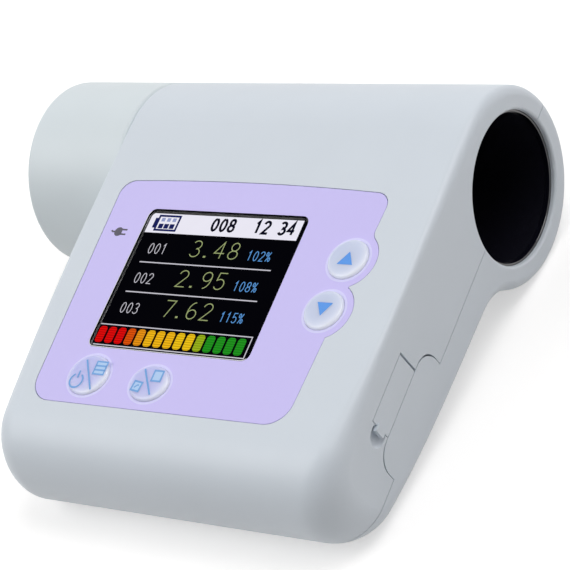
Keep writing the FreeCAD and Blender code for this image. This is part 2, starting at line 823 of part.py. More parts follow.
def window_block(name, grow, low, high):
    """A block with the display window's rounded outline."""
    half_x = window_width / 2 + grow
    half_y = window_height / 2 + grow
    block = box(
        name + "_block",
        (window_centre_x - half_x, window_centre_y - half_y, low),
        (window_centre_x + half_x, window_centre_y + half_y, high),
    )
    return round_edges(name, block, upright, window_round + grow)


def display_box(name, grow, low, high):
    """A sharp-cornered block of the display module, grown past the window."""
    half_x = window_width / 2 + grow
    half_y = window_height / 2 + grow
    return box(
        name,
        (window_centre_x - half_x, window_centre_y - half_y, low),
        (window_centre_x + half_x, window_centre_y + half_y, high),
    )


def key_holes(name, low, high):
    return [
        oval_block("%s_%s" % (name, key), (x, y), half_x + key_gap, half_y + key_gap, low, high)
        for key, (x, y, half_x, half_y) in KEYS.items()
    ]


film_seat = film_block("film_seat", film_gap, film_floor, tube_radius + MARGIN)
module_hole = display_box(
    "module_hole", glass_border + frame_sheet + module_gap, front_inside - 1, tube_radius + MARGIN
)
shell_key_holes = key_holes("shell_key_hole", front_inside - 1, tube_radius + MARGIN)
light_hole = rod(
    "light_hole", light_radius + light_gap, (light_x, light_y, front_inside - 1), film_recess + wall + 1
)


# Screw bosses
def posts(name, places, radius, low, high):
    return [
        rod("%s_%d" % (name, i), radius, (x, y, low), as_size(high) - low)
        for i, (x, y) in enumerate(places)
    ]


front_posts = fuse(
    "front_posts",
    posts("case_post", CASE_SCREWS, boss_radius, parting_height, tube_radius - 0.5)
    + posts("board_post", BOARD_SCREWS, board_boss_radius, board_front, tube_radius - 0.5),
)
front_room = cut("front_room", slab_room, front_posts)
pilot_top = screw_seat + screw_length + 0.5
case_pilots = posts("case_pilot", CASE_SCREWS, screw_radius + screw_gap, parting_height - 1, pilot_top)
board_pilots = posts(
    "board_pilot", BOARD_SCREWS, board_screw_radius + screw_gap, board_front - 1,
    board_back + board_screw_length + 0.5,
)

far = body_width + 2 * MARGIN
front_half = box(
    "front_half",
    (-far, -body_drop - MARGIN, parting_height + seam_gap / 2),
    (as_size(MARGIN), tube_radius + MARGIN, tube_radius + MARGIN),
)
front_blank = common("front_blank", [skin, front_half])
front_tools = fuse(
    "front_tools",
    [front_room, bore, outlet, beam_pocket, tail_slot, cover_seat, usb_window, scoop, cover_pin_hole,
     tab_cut, film_seat, module_hole, light_hole]
    + shell_key_holes + case_pilots + board_pilots + beam_windows[:2],
)
finish("front_shell", cut("front_shell", front_blank, front_tools))

# Rear shell: battery ribs, counterbored screw bosses and the tab beside the cover
ribs = [
    box(
        "battery_rib_%d" % i,
        (battery_x + rib_pitch * i - rib_width / 2, battery_y - battery_width / 2, -tube_radius),
        (battery_x + rib_pitch * i + rib_width / 2, battery_y + battery_width / 2, battery_floor),
    )
    for i in (-1, 0, 1)
]
rear_bosses = posts("rear_post", CASE_SCREWS, rear_boss_radius, -tube_radius, parting_height)
rear_posts = fuse("rear_posts", rear_bosses + ribs)
rear_room = cut("rear_room", slab_room, rear_posts)
rear_half = box(
    "rear_half",
    (-far, -body_drop - MARGIN, -tube_radius - MARGIN),
    (as_size(MARGIN), tube_radius + MARGIN, parting_height - seam_gap / 2),
)
rear_blank = common("rear_blank", [skin, fuse("rear_region", [rear_half, tab])])
screw_holes = posts("screw_hole", CASE_SCREWS, screw_radius + screw_gap, -tube_radius, parting_height + 1)
counterbore_radius = screw_head_radius + screw_head_gap
counterbores = posts("counterbore", CASE_SCREWS, counterbore_radius, -tube_radius, screw_seat)
rear_tools = fuse(
    "rear_tools",
    [rear_room, bore, outlet, beam_pocket, cover_pin_hole] + screw_holes + counterbores + beam_windows[2:],
)
finish("rear_shell", cut("rear_shell", rear_blank, rear_tools))

# Film, lens and display
film_holes = fuse(
    "film_holes",
    [window_block("film_window", lens_gap, film_floor - 1, film_top + 1)]
    + key_holes("film_key_hole", film_floor - 1, film_top + 1),
)
film_sheet = film_block("film", as_size(0), film_floor, film_top)
finish("overlay_panel", cut("overlay_panel", film_sheet, film_holes))
lens = window_block("lens", as_size(0), film_floor, film_top)
finish("display_window", group("display_window", [lens]))
gasket_outer = display_box("gasket_outer", glass_border + frame_sheet, glass_top, film_floor)
gasket_inner = window_block("gasket_inner", -gasket_lip, glass_top - 1, film_floor + 1)
finish("display_gasket", cut("display_gasket", gasket_outer, gasket_inner))
finish("lcd_glass", group("lcd_glass", [display_box("glass", glass_border, glass_bottom, glass_top)]))
backlight = display_box("backlight", glass_border, backlight_bottom, glass_bottom)
finish("lcd_backlight", group("lcd_backlight", [backlight]))
tray = display_box("tray", glass_border + frame_sheet, backlight_bottom - frame_sheet, glass_top)
tray_room = display_box("tray_room", glass_border, backlight_bottom, glass_top + 1)
finish("lcd_frame", cut("lcd_frame", tray, tray_room))

flex_body = new_body("display_flex")
tray_low_y = window_centre_y - window_height / 2 - glass_border - frame_sheet
flex_out = tray_low_y - display_flex_bulge
flex_in = tray_low_y + display_flex_reach
flex_start = glass_bottom - display_flex_drop
flex_back = board_front + header_height - 0.5
padded(
    flex_body,
    "display_flex_strip",
    "YZ_Plane",
    (
        (tray_low_y, flex_start),
        (flex_out, flex_start),
        (flex_out, flex_back),
        (flex_in, flex_back),
        (flex_in, flex_back + flex_thickness),
        (flex_out + flex_thickness, flex_back + flex_thickness),
        (flex_out + flex_thickness, flex_start - flex_thickness),
        (tray_low_y, flex_start - flex_thickness),
    ),
    display_flex_width,
    lift=window_centre_x,
    both_ways=True,
)
finish("display_flex", flex_body)


# Keys, each with a domed cap, a flange behind the wall and a stem on the switch's plunger
def key_cap(key):
    x, y, half_x, half_y = KEYS[key]
    top = tube_radius + key_rise
    cap = oval_block(key + "_cap", (x, y), half_x, half_y, flange_bottom + 0.5, top)

    def pick(edge):
        box_of = edge.BoundBox
        return box_of.ZMin > top.number - 1e-4
    domed = round_edges(key + "_dome", cap, pick, key_round)
    wide_x, wide_y = half_x + key_flange, half_y + key_flange
    flange = oval_block(key + "_flange", (x, y), wide_x, wide_y, flange_bottom, flange_top)
    stem = rod(key + "_stem", stem_radius, (x, y, plunger_top), flange_top - plunger_top)
    return finish("key_" + key, fuse("key_" + key, [domed, flange, stem]))


def key_plunger(key):
    x, y = KEYS[key][:2]
    bottom = switch_top - plunger_gap - key_travel
    item = rod(key + "_plunger_rod", plunger_radius, (x, y, bottom), plunger_top - bottom)
    return finish(key + "_plunger", group(key + "_plunger", [item]))


def switch_case(key):
    x, y = KEYS[key][:2]
    half = switch_width / 2
    block = box(key + "_switch_block", (x - half, y - half, board_front), (x + half, y + half, switch_top))
    hole_floor = switch_top - 2 * plunger_gap - 2 * key_travel
    hole_depth = switch_top - hole_floor + 1
    hole = rod(key + "_switch_hole", plunger_radius + plunger_gap, (x, y, hole_floor), hole_depth)
    return cut(key + "_switch", block, hole)


for key in KEYS:
    key_cap(key)
    key_plunger(key)
finish("key_switches", group("key_switches", [switch_case(key) for key in KEYS]))

# Main board, notched round the case bosses
board_half_gap = wall + board_edge_gap
board_slab = box(
    "board_slab",
    (board_half_gap - body_width, board_bottom_y, board_back),
    (-board_half_gap, board_top_y, board_front),
)


def board_notch(index, place):
    """A square notch that clears a case boss and runs out of the board's corner."""
    x, y = place
    clear = boss_radius + boss_board_gap
    left = x - clear if x.number > window_centre_x.number else x - 2 * MARGIN
    right = x + 2 * MARGIN if x.number > window_centre_x.number else x + clear
    low = y - clear if y.number > window_centre_y.number else y - 2 * MARGIN
    high = y + 2 * MARGIN if y.number > window_centre_y.number else y + clear
    return box("board_notch_%d" % index, (left, low, board_back - 1), (right, high, board_front + 1))


board_notches = [board_notch(i, place) for i, place in enumerate(CASE_SCREWS)]
board_holes = posts(
    "board_hole", BOARD_SCREWS, board_screw_radius + screw_gap, board_back - 1, board_front + 1
)
finish("main_board", cut("main_board", board_slab, fuse("board_cuts", board_notches + board_holes)))


def on_back(name, centre, half_x, half_y, height):
    """A block on the back of the main board."""
    x, y = centre
    low = (x - half_x, y - half_y, board_back - height)
    block = box(name + "_block", low, (x + half_x, y + half_y, board_back))
    return finish(name, group(name, [block]))


board_parts_y = battery_y + board_parts_rise
on_back("main_chip", (battery_x + chip_shift, board_parts_y), chip_width / 2, chip_width / 2, chip_height)
sensor_header_y = board_top_y - 4.0
on_back("sensor_header", (rotor_x, sensor_header_y - header_depth / 2), header_width / 2, header_depth / 2,
        header_height)
battery_header_place = (BOARD_SCREWS[0][0] + battery_header_shift, BOARD_SCREWS[0][1] + battery_header_rise)
on_back("battery_header", battery_header_place, header_depth / 2, header_width / 2, 2 * header_height)
buzzer_centre = (battery_x + buzzer_shift, board_parts_y)
buzzer_can = rod("buzzer_can", buzzer_radius, (*buzzer_centre, board_back - buzzer_height), buzzer_height)
finish("buzzer", group("buzzer", [buzzer_can]))
display_header_low = (window_centre_x - header_width, flex_in, board_front)
display_header_high = (window_centre_x + header_width, flex_in + header_depth, board_front + header_height)
display_header = box("display_header_block", display_header_low, display_header_high)
finish("display_header", group("display_header", [display_header]))
led = box(
    "led_block",
    (light_x - led_width / 2, light_y - led_width / 2, board_front),
    (light_x + led_width / 2, light_y + led_width / 2, board_front + led_height),
)
finish("charge_led", group("charge_led", [led]))
pipe_low = board_front + led_height + light_gap
pipe = rod("light_rod", light_radius, (light_x, light_y, pipe_low), film_floor - light_gap - pipe_low)
pipe_flange = rod(
    "light_collar", light_radius + light_flange, (light_x, light_y, flange_bottom), key_flange_thickness
)
finish("charge_light_pipe", fuse("charge_light_pipe", [pipe, pipe_flange]))

# Charging socket: a bent-sheet shell open towards the side wall, with a contact tongue in it
usb_right = -wall - usb_wall_gap
usb_shell = box(
    "usb_shell",
    (usb_right - usb_depth, usb_y - usb_width / 2, board_front),
    (usb_right, usb_y + usb_width / 2, board_front + usb_height),
)
usb_room = box(
    "usb_room",
    (usb_right - usb_depth + usb_sheet, usb_y - usb_width / 2 + usb_sheet, board_front + usb_sheet),
    (usb_right + 1, usb_y + usb_width / 2 - usb_sheet, board_front + usb_height - usb_sheet),
)
finish("usb_socket", cut("usb_socket", usb_shell, usb_room))
tongue = box(
    "tongue_block",
    (usb_right - usb_depth + usb_sheet, usb_y - usb_width / 3, usb_z - tongue_thickness / 2),
    (usb_right - 1.2, usb_y + usb_width / 3, usb_z + tongue_thickness / 2),
)
finish("usb_tongue", group("usb_tongue", [tongue]))

# Cover over the socket: it turns on a pin at its upper end and has a fingernail lip at the lower
cover_plate = box(
    "cover_plate",
    (-cover_thickness, cover_bottom_y, cover_low_z),
    (as_size(0), hinge_y, cover_high_z),
)
cover_knuckle = rod(
    "cover_knuckle", cover_thickness / 2, (hinge_x, hinge_y, cover_low_z), cover_high_z - cover_low_z
)
cover_lip_block = box(
    "cover_lip_block",
    (-cover_lip_depth, cover_bottom_y - cover_lip, usb_z - cover_lip_width / 2),
    (cover_lip_rise, cover_bottom_y + 0.4, usb_z + cover_lip_width / 2),
)
cover_bore = rod(
    "cover_bore", cover_pin_radius + shaft_clearance, (hinge_x, hinge_y, cover_low_z - 1), cover_width + 2
)
cover_solid = fuse("cover_solid", [cover_plate, cover_knuckle, cover_lip_block])
finish("usb_cover", cut("usb_cover", cover_solid, cover_bore))
cover_pin = rod(
    "cover_pin_rod",
    cover_pin_radius,
    (hinge_x, hinge_y, tab_top - cover_pin_bite + 0.1),
    cover_width + 2 * cover_gap + 2 * cover_pin_bite - 0.2,
)
finish("usb_cover_pin", group("usb_cover_pin", [cover_pin]))

# Battery
cell = box(
    "cell_block",
    (battery_x - battery_length / 2, battery_y - battery_width / 2, battery_floor),
    (battery_x + battery_length / 2, battery_y + battery_width / 2, battery_top),
)


def along_length(edge):
    ends = [vertex.Point for vertex in edge.Vertexes]
    return abs(ends[0].x - ends[-1].x) > 1e-6


finish("battery_cell", round_edges("battery_cell", cell, along_length, battery_round))

# Beam ring: a thin printed strip round the tube with two emitters facing two receivers
flex_outer = pocket_high - flex_gap
flex_inner = flex_outer - flex_thickness
flex_left = pocket_left + flex_gap
flex_width = beam_pocket_width - 2 * flex_gap
ring_outer = rod("beam_ring_outer", flex_outer, (flex_left, 0, 0), flex_width, ALONG_X)
ring_inner = rod("beam_ring_inner", flex_inner, (flex_left - 1, 0, 0), flex_width + 2, ALONG_X)
tail_body = new_body("beam_tail")
tail_bend_y = board_top_y - 0.6
tail_end_z = board_back - header_height / 2
padded(
    tail_body,
    "beam_tail_strip",
    "YZ_Plane",
    (
        (-flex_inner + 0.9, beam_tail_height),
        (tail_bend_y, beam_tail_height),
        (tail_bend_y - 1.4, tail_end_z - flex_thickness),
        (sensor_header_y, tail_end_z - flex_thickness),
        (sensor_header_y, tail_end_z),
        (tail_bend_y - 1.4, tail_end_z),
        (tail_bend_y, beam_tail_height + flex_thickness),
        (-flex_inner + 0.9, beam_tail_height + flex_thickness),
    ),
    beam_tail_width,
    lift=rotor_x,
    both_ways=True,
)
beam_ring = cut("beam_ring", ring_outer, ring_inner)
finish("sensor_flex", fuse("sensor_flex", [beam_ring, tail_body]))


def diode(name, angle):
    """A surface-mount diode on the inside of the beam ring, facing the tube's axis."""
    base = flex_inner - 0.04 - diode_height
    item = doc.addObject("Part::Box", name)
    bind(item, "Length", diode_length)
    bind(item, "Width", diode_width)
    bind(item, "Height", diode_height)
    turn = beam_turn(angle)
    start = turn.multVec(Vector(-diode_length.number / 2, -diode_width.number / 2, base.number))
    item.Placement = Placement(start + Vector(rotor_x.number, 0, 0), turn)
    return item


emitters = [diode("emitter_%d" % i, angle) for i, angle in enumerate(BEAM_ANGLES[:2])]
receivers = [diode("receiver_%d" % i, angle) for i, angle in enumerate(BEAM_ANGLES[2:])]
finish("ir_emitters", group("ir_emitters", emitters))
finish("ir_receivers", group("ir_receivers", receivers))

# Turbine cartridge: collar with the mouthpiece socket, and the barrel that slides into the case
collar = new_body("turbine_collar")
collar_turned = turned(
    collar,
    "collar_turned",
    (
        (collar_left, socket_radius),
        (collar_left, tube_radius),
        (collar_right, tube_radius),
        (collar_right, barrel_radius + seat_clearance),
        (barrel_left, barrel_radius + seat_clearance),
        (barrel_left, airway_radius),
        (socket_floor, airway_radius),
        (socket_floor, socket_radius),
    ),
)
rounds = (
    ("collar_end_round", collar_left, tube_radius, collar_round),
    ("collar_seam_round", collar_right, tube_radius, collar_seam_round),
    ("collar_mouth_round", collar_left, socket_radius, seam_round),
)
collar_tip = collar_turned
for round_name, edge_x, edge_radius, round_radius in rounds:
    collar_tip = rounded(collar, round_name, collar_tip, ring_edge(edge_x, edge_radius), round_radius)
finish("turbine_collar", collar)

barrel = new_body("turbine_barrel")
turned(
    barrel,
    "barrel_turned",
    (
        (barrel_left, airway_radius),
        (barrel_left, barrel_radius),
        (barrel_right, barrel_radius),
        (barrel_right, airway_radius),
    ),
)
finish("turbine_barrel", barrel)


def stator(name, inner_x, side):
    """Twisted guide vanes between a bearing hub and a ring pressed into the barrel.

    inner_x is the face towards the rotor, and side is the way from there to the open end.
    """
    body = new_body(name)
    outer_x = inner_x + stator_length * side
    hub_tip = outer_x + hub_nose * side
    pocket_floor = inner_x + jewel_length * side
    hub = turned(
        body,
        name + "_hub",
        (
            (inner_x, jewel_radius),
            (inner_x, hub_radius),
            (hub_tip, hub_radius),
            (hub_tip, 0),
            (pocket_floor, 0),
            (pocket_floor, jewel_radius),
        ),
    )
    rounded(body, name + "_nose", hub, ring_edge(hub_tip, hub_radius), hub_nose)
    ring_outer_radius = airway_radius - seat_clearance
    ring_inner_radius = ring_outer_radius - stator_ring_wall
    half = blade_thickness / 2
    root = hub_radius - 0.6
    tip = ring_inner_radius + stator_ring_wall / 2
    section = ((-half, root), (half, root), (half, tip), (-half, tip))
    low_x = inner_x if side > 0 else outer_x
    steps = [
        outline(body, "%s_section_%d" % (name, i), "YZ_Plane", section,
                lift=low_x + stator_length * i / 2, turn=blade_twist * (i if side > 0 else 2 - i) / 2)
        for i in range(3)
    ]
    blade = body.newObject("PartDesign::AdditiveLoft", name + "_blade")
    blade.Profile = steps[0]
    blade.Sections = steps[1:]
    body.Tip = blade
    doc.recompute()
    blades = body.newObject("PartDesign::PolarPattern", name + "_blades")
    blades.Originals = [blade]
    blades.Axis = (origin_item(body, "X_Axis"), [""])
    blades.Angle = 360
    bind(blades, "Occurrences", blade_count)
    body.Tip = blades
    turned(
        body,
        name + "_ring",
        (
            (inner_x, ring_inner_radius),
            (inner_x, ring_outer_radius),
            (outer_x, ring_outer_radius),
            (outer_x, ring_inner_radius),
        ),
    )
    return finish(name, body)


def jewel(name, inner_x, side):
    """A ring bearing in the hub's pocket, open towards the rotor."""
    body = new_body(name)
    radius = jewel_radius - seat_clearance
    bore_of = shaft_radius + shaft_clearance
    far_x = inner_x + (jewel_length - seat_clearance) * side
    turned(body, name + "_ring", ((inner_x, bore_of), (inner_x, radius), (far_x, radius), (far_x, bore_of)))
    return finish(name, body)


inlet_face = rotor_x - stator_reach
outlet_face = rotor_x + stator_reach
stator("inlet_stator", inlet_face, -1)
stator("outlet_stator", outlet_face, 1)
jewel("inlet_jewel", inlet_face, -1)
jewel("outlet_jewel", outlet_face, 1)

# Rotor: one flat vane on a fine steel shaft
vane = new_body("rotor_vane")
vane_reach = airway_radius - vane_tip_gap
padded(
    vane,
    "vane_plate",
    "XY_Plane",
    (
        (rotor_x - vane_length / 2, -vane_reach),
        (rotor_x + vane_length / 2, -vane_reach),
        (rotor_x + vane_length / 2, vane_reach),
        (rotor_x - vane_length / 2, vane_reach),
    ),
    vane_thickness,
    both_ways=True,
)
hub_half = vane_length / 2 + 1.0
vane_hub = rod("vane_hub", vane_hub_radius, (rotor_x - hub_half, 0, 0), 2 * hub_half, ALONG_X)
shaft_half = stator_reach + jewel_length - shaft_end_play
vane_bore = rod("vane_bore", shaft_radius, (rotor_x - shaft_half, 0, 0), 2 * shaft_half, ALONG_X)
finish("rotor_vane", cut("rotor_vane", fuse("vane_solid", [vane, vane_hub]), vane_bore))
shaft = rod("shaft_rod", shaft_radius, (rotor_x - shaft_half, 0, 0), 2 * shaft_half, ALONG_X)
finish("rotor_shaft", group("rotor_shaft", [shaft]))


# Screws
def screw(name, place, radius, head_radius, head_height, seat, length):
    """A round-headed screw driven from behind: the head lies below its seat."""
    x, y = place
    shank = rod(name + "_shank", radius, (x, y, seat - head_height / 2), length + head_height / 2)
    head = rod(name + "_head", head_radius, (x, y, seat - head_height), head_height)
    return fuse(name, [shank, head])


case_screws = [
    screw("case_screw_%d" % i, place, screw_radius, screw_head_radius, screw_head_height, screw_seat,
          screw_length)
    for i, place in enumerate(CASE_SCREWS)
]
finish("case_screws", group("case_screws", case_screws))
board_screws = [
    screw("board_screw_%d" % i, place, board_screw_radius, board_screw_head_radius, board_screw_head_height,
          board_back, board_screw_length)
    for i, place in enumerate(BOARD_SCREWS)
]
finish("board_screws", group("board_screws", board_screws))


def rest_placement():
    """Lays the device on its back, so that the tube and the nose both touch Z = 0.

    The line that touches both circles leans by twice the angle of the line of centres.
    """
    across = -nose_y.number
    rise = nose_z.number
    span = math.hypot(across, rise)
    lean = math.asin((tube_radius.number - nose_radius.number) / span) + math.atan2(rise, across)
    turn = Rotation(Vector(1, 0, 0), math.degrees(lean))
    middle_x = (collar_left.number + cover_lip_rise.number) / 2
    front_y = turn.multVec(Vector(0, nose_y.number, nose_z.number)).y - nose_radius.number
    middle_y = (front_y + tube_radius.number) / 2
    return Placement(Vector(-middle_x, -middle_y, tube_radius.number), turn)


def check(item):
    bad = [state for state in item.State if state in ("Invalid", "Error")]
    if bad:
        raise RuntimeError("%s is %s" % (item.Label, bad))


doc.recompute()
rest = rest_placement()
for item in pieces:
    item.Placement = rest
doc.recompute()
for item in doc.Objects:
    check(item)
for item in pieces:
    if item.Shape.isNull() or not item.Shape.isValid():
        raise RuntimeError("%s has no valid shape" % item.Label)

os.makedirs("parts", exist_ok=True)
for item in pieces:
    item.Shape.exportStep(os.path.join("parts", item.Label + ".step"))
    print("%-20s solids %d volume %.1f" % (item.Label, len(item.Shape.Solids), item.Shape.Volume))
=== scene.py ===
"""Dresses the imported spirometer: finishes, read-out, key symbols, screws, stage, light and camera."""

import json
import logging
import math
from collections.abc import Callable, Iterable, Mapping, Sequence
from dataclasses import dataclass
from enum import Enum
from typing import Any, ClassVar

import bmesh
import bpy
from mathutils import Matrix, Vector
from mathutils.geometry import convex_hull_2d


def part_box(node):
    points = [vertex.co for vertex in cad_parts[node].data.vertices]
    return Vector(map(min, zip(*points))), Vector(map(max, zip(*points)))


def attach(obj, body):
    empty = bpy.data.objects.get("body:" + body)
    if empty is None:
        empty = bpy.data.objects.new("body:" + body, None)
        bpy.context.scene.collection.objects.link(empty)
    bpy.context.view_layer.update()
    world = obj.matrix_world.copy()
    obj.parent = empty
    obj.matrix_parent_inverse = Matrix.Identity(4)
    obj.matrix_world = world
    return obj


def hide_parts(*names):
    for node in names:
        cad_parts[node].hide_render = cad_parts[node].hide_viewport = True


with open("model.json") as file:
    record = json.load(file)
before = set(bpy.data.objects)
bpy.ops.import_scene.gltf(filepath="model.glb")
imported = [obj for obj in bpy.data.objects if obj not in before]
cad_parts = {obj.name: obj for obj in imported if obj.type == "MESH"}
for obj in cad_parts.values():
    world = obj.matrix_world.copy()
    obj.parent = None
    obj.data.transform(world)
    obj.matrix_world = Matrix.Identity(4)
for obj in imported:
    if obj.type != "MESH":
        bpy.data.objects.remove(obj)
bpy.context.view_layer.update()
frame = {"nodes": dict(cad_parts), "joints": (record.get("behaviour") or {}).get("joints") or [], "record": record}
MM = 0.001
LOG = logging.getLogger("spirometer")
KEYS = ("up", "down", "power", "confirm")
MITRE_LIMIT = 0.3

Triple = tuple[float, float, float]
Colour = Triple
Point = tuple[float, float]
Outlines = Iterable[Sequence[Point]]

BLACK: Colour = (0.0, 0.0, 0.0)
WHITE: Colour = (1.0, 1.0, 1.0)


def linear(red: int, green: int, blue: int) -> Colour:
    """Turns a display colour, given from 0 to 255, into linear light after the sRGB curve."""
    shares = [value / 255 for value in (red, green, blue)]
    return tuple(share / 12.92 if share <= 0.04045 else ((share + 0.055) / 1.055) ** 2.4 for share in shares)


def rgba(colour: Colour) -> tuple[float, float, float, float]:
    """Adds full alpha to a colour."""
    return (*colour, 1.0)


def scaled(colour: Colour, factor: float) -> Colour:
    """Makes a colour lighter or darker."""
    return tuple(min(1.0, channel * factor) for channel in colour)


def subsurface(weight: float, depth_mm: float) -> dict[str, Any]:
    """Gives the shader inputs for light that goes equally deep in every colour."""
    even = (1.0, 1.0, 1.0)
    return {"Subsurface Weight": weight, "Subsurface Radius": even, "Subsurface Scale": depth_mm * MM}


def arithmetic(operation: str, reflected: bool = False) -> Callable[["Wire", Any], "Wire"]:
    """Makes an operator for wires that adds a Math node, with the other value first if it is reflected."""
    return lambda wire, other: wire.graph.node(
        "ShaderNodeMath", {"operation": operation}, (other, wire) if reflected else (wire, other))


class Wire:
    """A node socket that takes part in Python arithmetic by adding Math nodes."""

    def __init__(self, graph: "Graph", socket: bpy.types.NodeSocket) -> None:
        """Keeps the graph and the socket that the wire starts from."""
        self.graph = graph
        self.socket = socket

    def math(self, operation: str, *others: Any) -> "Wire":
        """Adds a Math node for an operation on this value and any others."""
        return self.graph.node("ShaderNodeMath", {"operation": operation}, (self, *others))

    __add__, __radd__ = arithmetic("ADD"), arithmetic("ADD", reflected=True)
    __sub__, __rsub__ = arithmetic("SUBTRACT"), arithmetic("SUBTRACT", reflected=True)
    __mul__, __rmul__ = arithmetic("MULTIPLY"), arithmetic("MULTIPLY", reflected=True)
    __truediv__, __pow__, __gt__ = arithmetic("DIVIDE"), arithmetic("POWER"), arithmetic("GREATER_THAN")


class Graph:
    """A shader or geometry tree with one method that makes every node."""

    # Where a Mix node of colours has its factor, its two colours and its result.
    MIX_FACTOR, MIX_FIRST, MIX_SECOND, MIX_RESULT = 0, 6, 7, 2

    def __init__(self, tree: bpy.types.NodeTree) -> None:
        """Keeps the tree that the nodes go into."""
        self.tree = tree

    def node(self, kind: str, settings: Mapping[str, Any] | None = None,
             values: Mapping[Any, Any] | Sequence[Any] = (), output: int | str = 0) -> Wire:
        """Makes one node, sets it up and feeds its inputs.

        Args:
            kind: The node's type.
            settings: Its properties, set first; a ramp's are given as "stops".
            values: Numbers, colours, wires or lists of wires, by input name or in input order.
            output: Which output the returned wire starts from.

        Returns:
            A wire from that output.
        """
        made = self.tree.nodes.new(kind)
        for name, value in (settings or {}).items():
            if name == "stops":
                self.set_stops(made.color_ramp, value)
            else:
                setattr(made, name, value)
        for key, value in values.items() if isinstance(values, Mapping) else enumerate(values):
            field = made.inputs[key]
            if isinstance(value, (Wire, list)):
                for wire in value if isinstance(value, list) else [value]:
                    self.tree.links.new(wire.socket, field)
            else:
                field.default_value = rgba(value) if field.type == "RGBA" else value
        return Wire(self, made.outputs[output] if made.outputs else None)

    @staticmethod
    def set_stops(ramp: bpy.types.ColorRamp, stops: Sequence[tuple[float, Colour]]) -> None:
        """Sets a ramp's colours, each held up to the next stop.

        Args:
            ramp: The ramp, which has two stops already.
            stops: Places from 0 to 1 with their colours.
        """
        ramp.interpolation = "CONSTANT"
        for element, (place, colour) in zip(ramp.elements, stops):
            element.position = place
            element.color = rgba(colour)
        for place, colour in stops[len(ramp.elements):]:
            ramp.elements.new(place).color = rgba(colour)

    def mix(self, factor: Any, first: Any, second: Any) -> Wire:
        """Mixes two colours by a factor."""
        values = {self.MIX_FACTOR: factor, self.MIX_FIRST: first, self.MIX_SECOND: second}
        return self.node("ShaderNodeMix", {"data_type": "RGBA"}, values, self.MIX_RESULT)

    def place(self) -> Wire:
        """Gives the point's own coordinates on the piece, in metres."""
        return self.node("ShaderNodeTexCoord", output="Object")

    def along(self, axis: str) -> Wire:
        """Gives one of the point's own coordinates on the piece, in metres."""
        return self.node("ShaderNodeSeparateXYZ", values=[self.place()], output=axis)

    def noise(self, size_mm: float, detail: float = 3.0, place: Wire | None = None) -> Wire:
        """Gives smooth noise from 0 to 1 whose features are about as large as a size."""
        values = {"Vector": place or self.place(), "Scale": 1 / (size_mm * MM), "Detail": detail}
        return self.node("ShaderNodeTexNoise", values=values)

    def bump(self, height: Wire, depth_mm: float, strength: float = 1.0) -> Wire:
        """Gives a normal that follows a height of a real depth."""
        values = {"Strength": strength, "Distance": depth_mm * MM, "Height": height}
        return self.node("ShaderNodeBump", values=values)

    def surface(self, values: Mapping[str, Any]) -> Wire:
        """Makes the main shader of a material."""
        return self.node("ShaderNodeBsdfPrincipled", values=values)

    def seen(self) -> Wire:
        """Tells the rays that are seen from the rays that light.

        Returns:
            A wire that is 1 for rays from the camera, from a mirror and through glass, and 0 for others.
        """
        camera, mirrored, through = (self.node("ShaderNodeLightPath", output="Is %s Ray" % kind)
                                     for kind in ("Camera", "Glossy", "Transmission"))
        return camera + mirrored + through


class Finish:
    """What a surface is. Each kind builds its own shader from its fields."""

    def dress(self, graph: Graph) -> Wire:
        """Builds the shader.

        Args:
            graph: The material's tree.

        Returns:
            A wire from the shader.
        """
        raise NotImplementedError

    def material(self, name: str) -> bpy.types.Material:
        """Makes a material of this finish.

        Args:
            name: The material's name.

        Returns:
            The material.
        """
        made = bpy.data.materials.new(name)
        made.use_nodes = True
        made.node_tree.nodes.clear()
        graph = Graph(made.node_tree)
        graph.node("ShaderNodeOutputMaterial", values={"Surface": self.dress(graph)})
        return made


@dataclass(frozen=True)
class Moulded(Finish):
    """Moulded plastic: a spark-eroded grain, a faint cloud in its colour and duller patches."""

    colour: Colour
    roughness: float = 0.42
    relief_mm: float = 0.004
    coat: float = 0.0
    subsurface: float = 0.0
    cloud: float = 0.05
    cloud_mm: float = 14.0
    patch: float = 0.1
    patch_mm: float = 3.0
    grain_mm: float = 0.22
    light_depth_mm: float = 1.2

    def dress(self, graph: Graph) -> Wire:
        """Builds the shader of the plastic.

        Args:
            graph: The material's tree.

        Returns:
            A wire from the shader.
        """
        dark = scaled(self.colour, 1 - self.cloud)
        return graph.surface({
            "Base Color": graph.mix(graph.noise(self.cloud_mm), dark, self.colour),
            "Roughness": self.roughness + self.patch * (graph.noise(self.patch_mm) - 0.5),
            "Normal": graph.bump(graph.noise(self.grain_mm, 2.0), self.relief_mm, 0.6),
            "Coat Weight": self.coat,
            **(subsurface(self.subsurface, self.light_depth_mm) if self.subsurface else {}),
        })


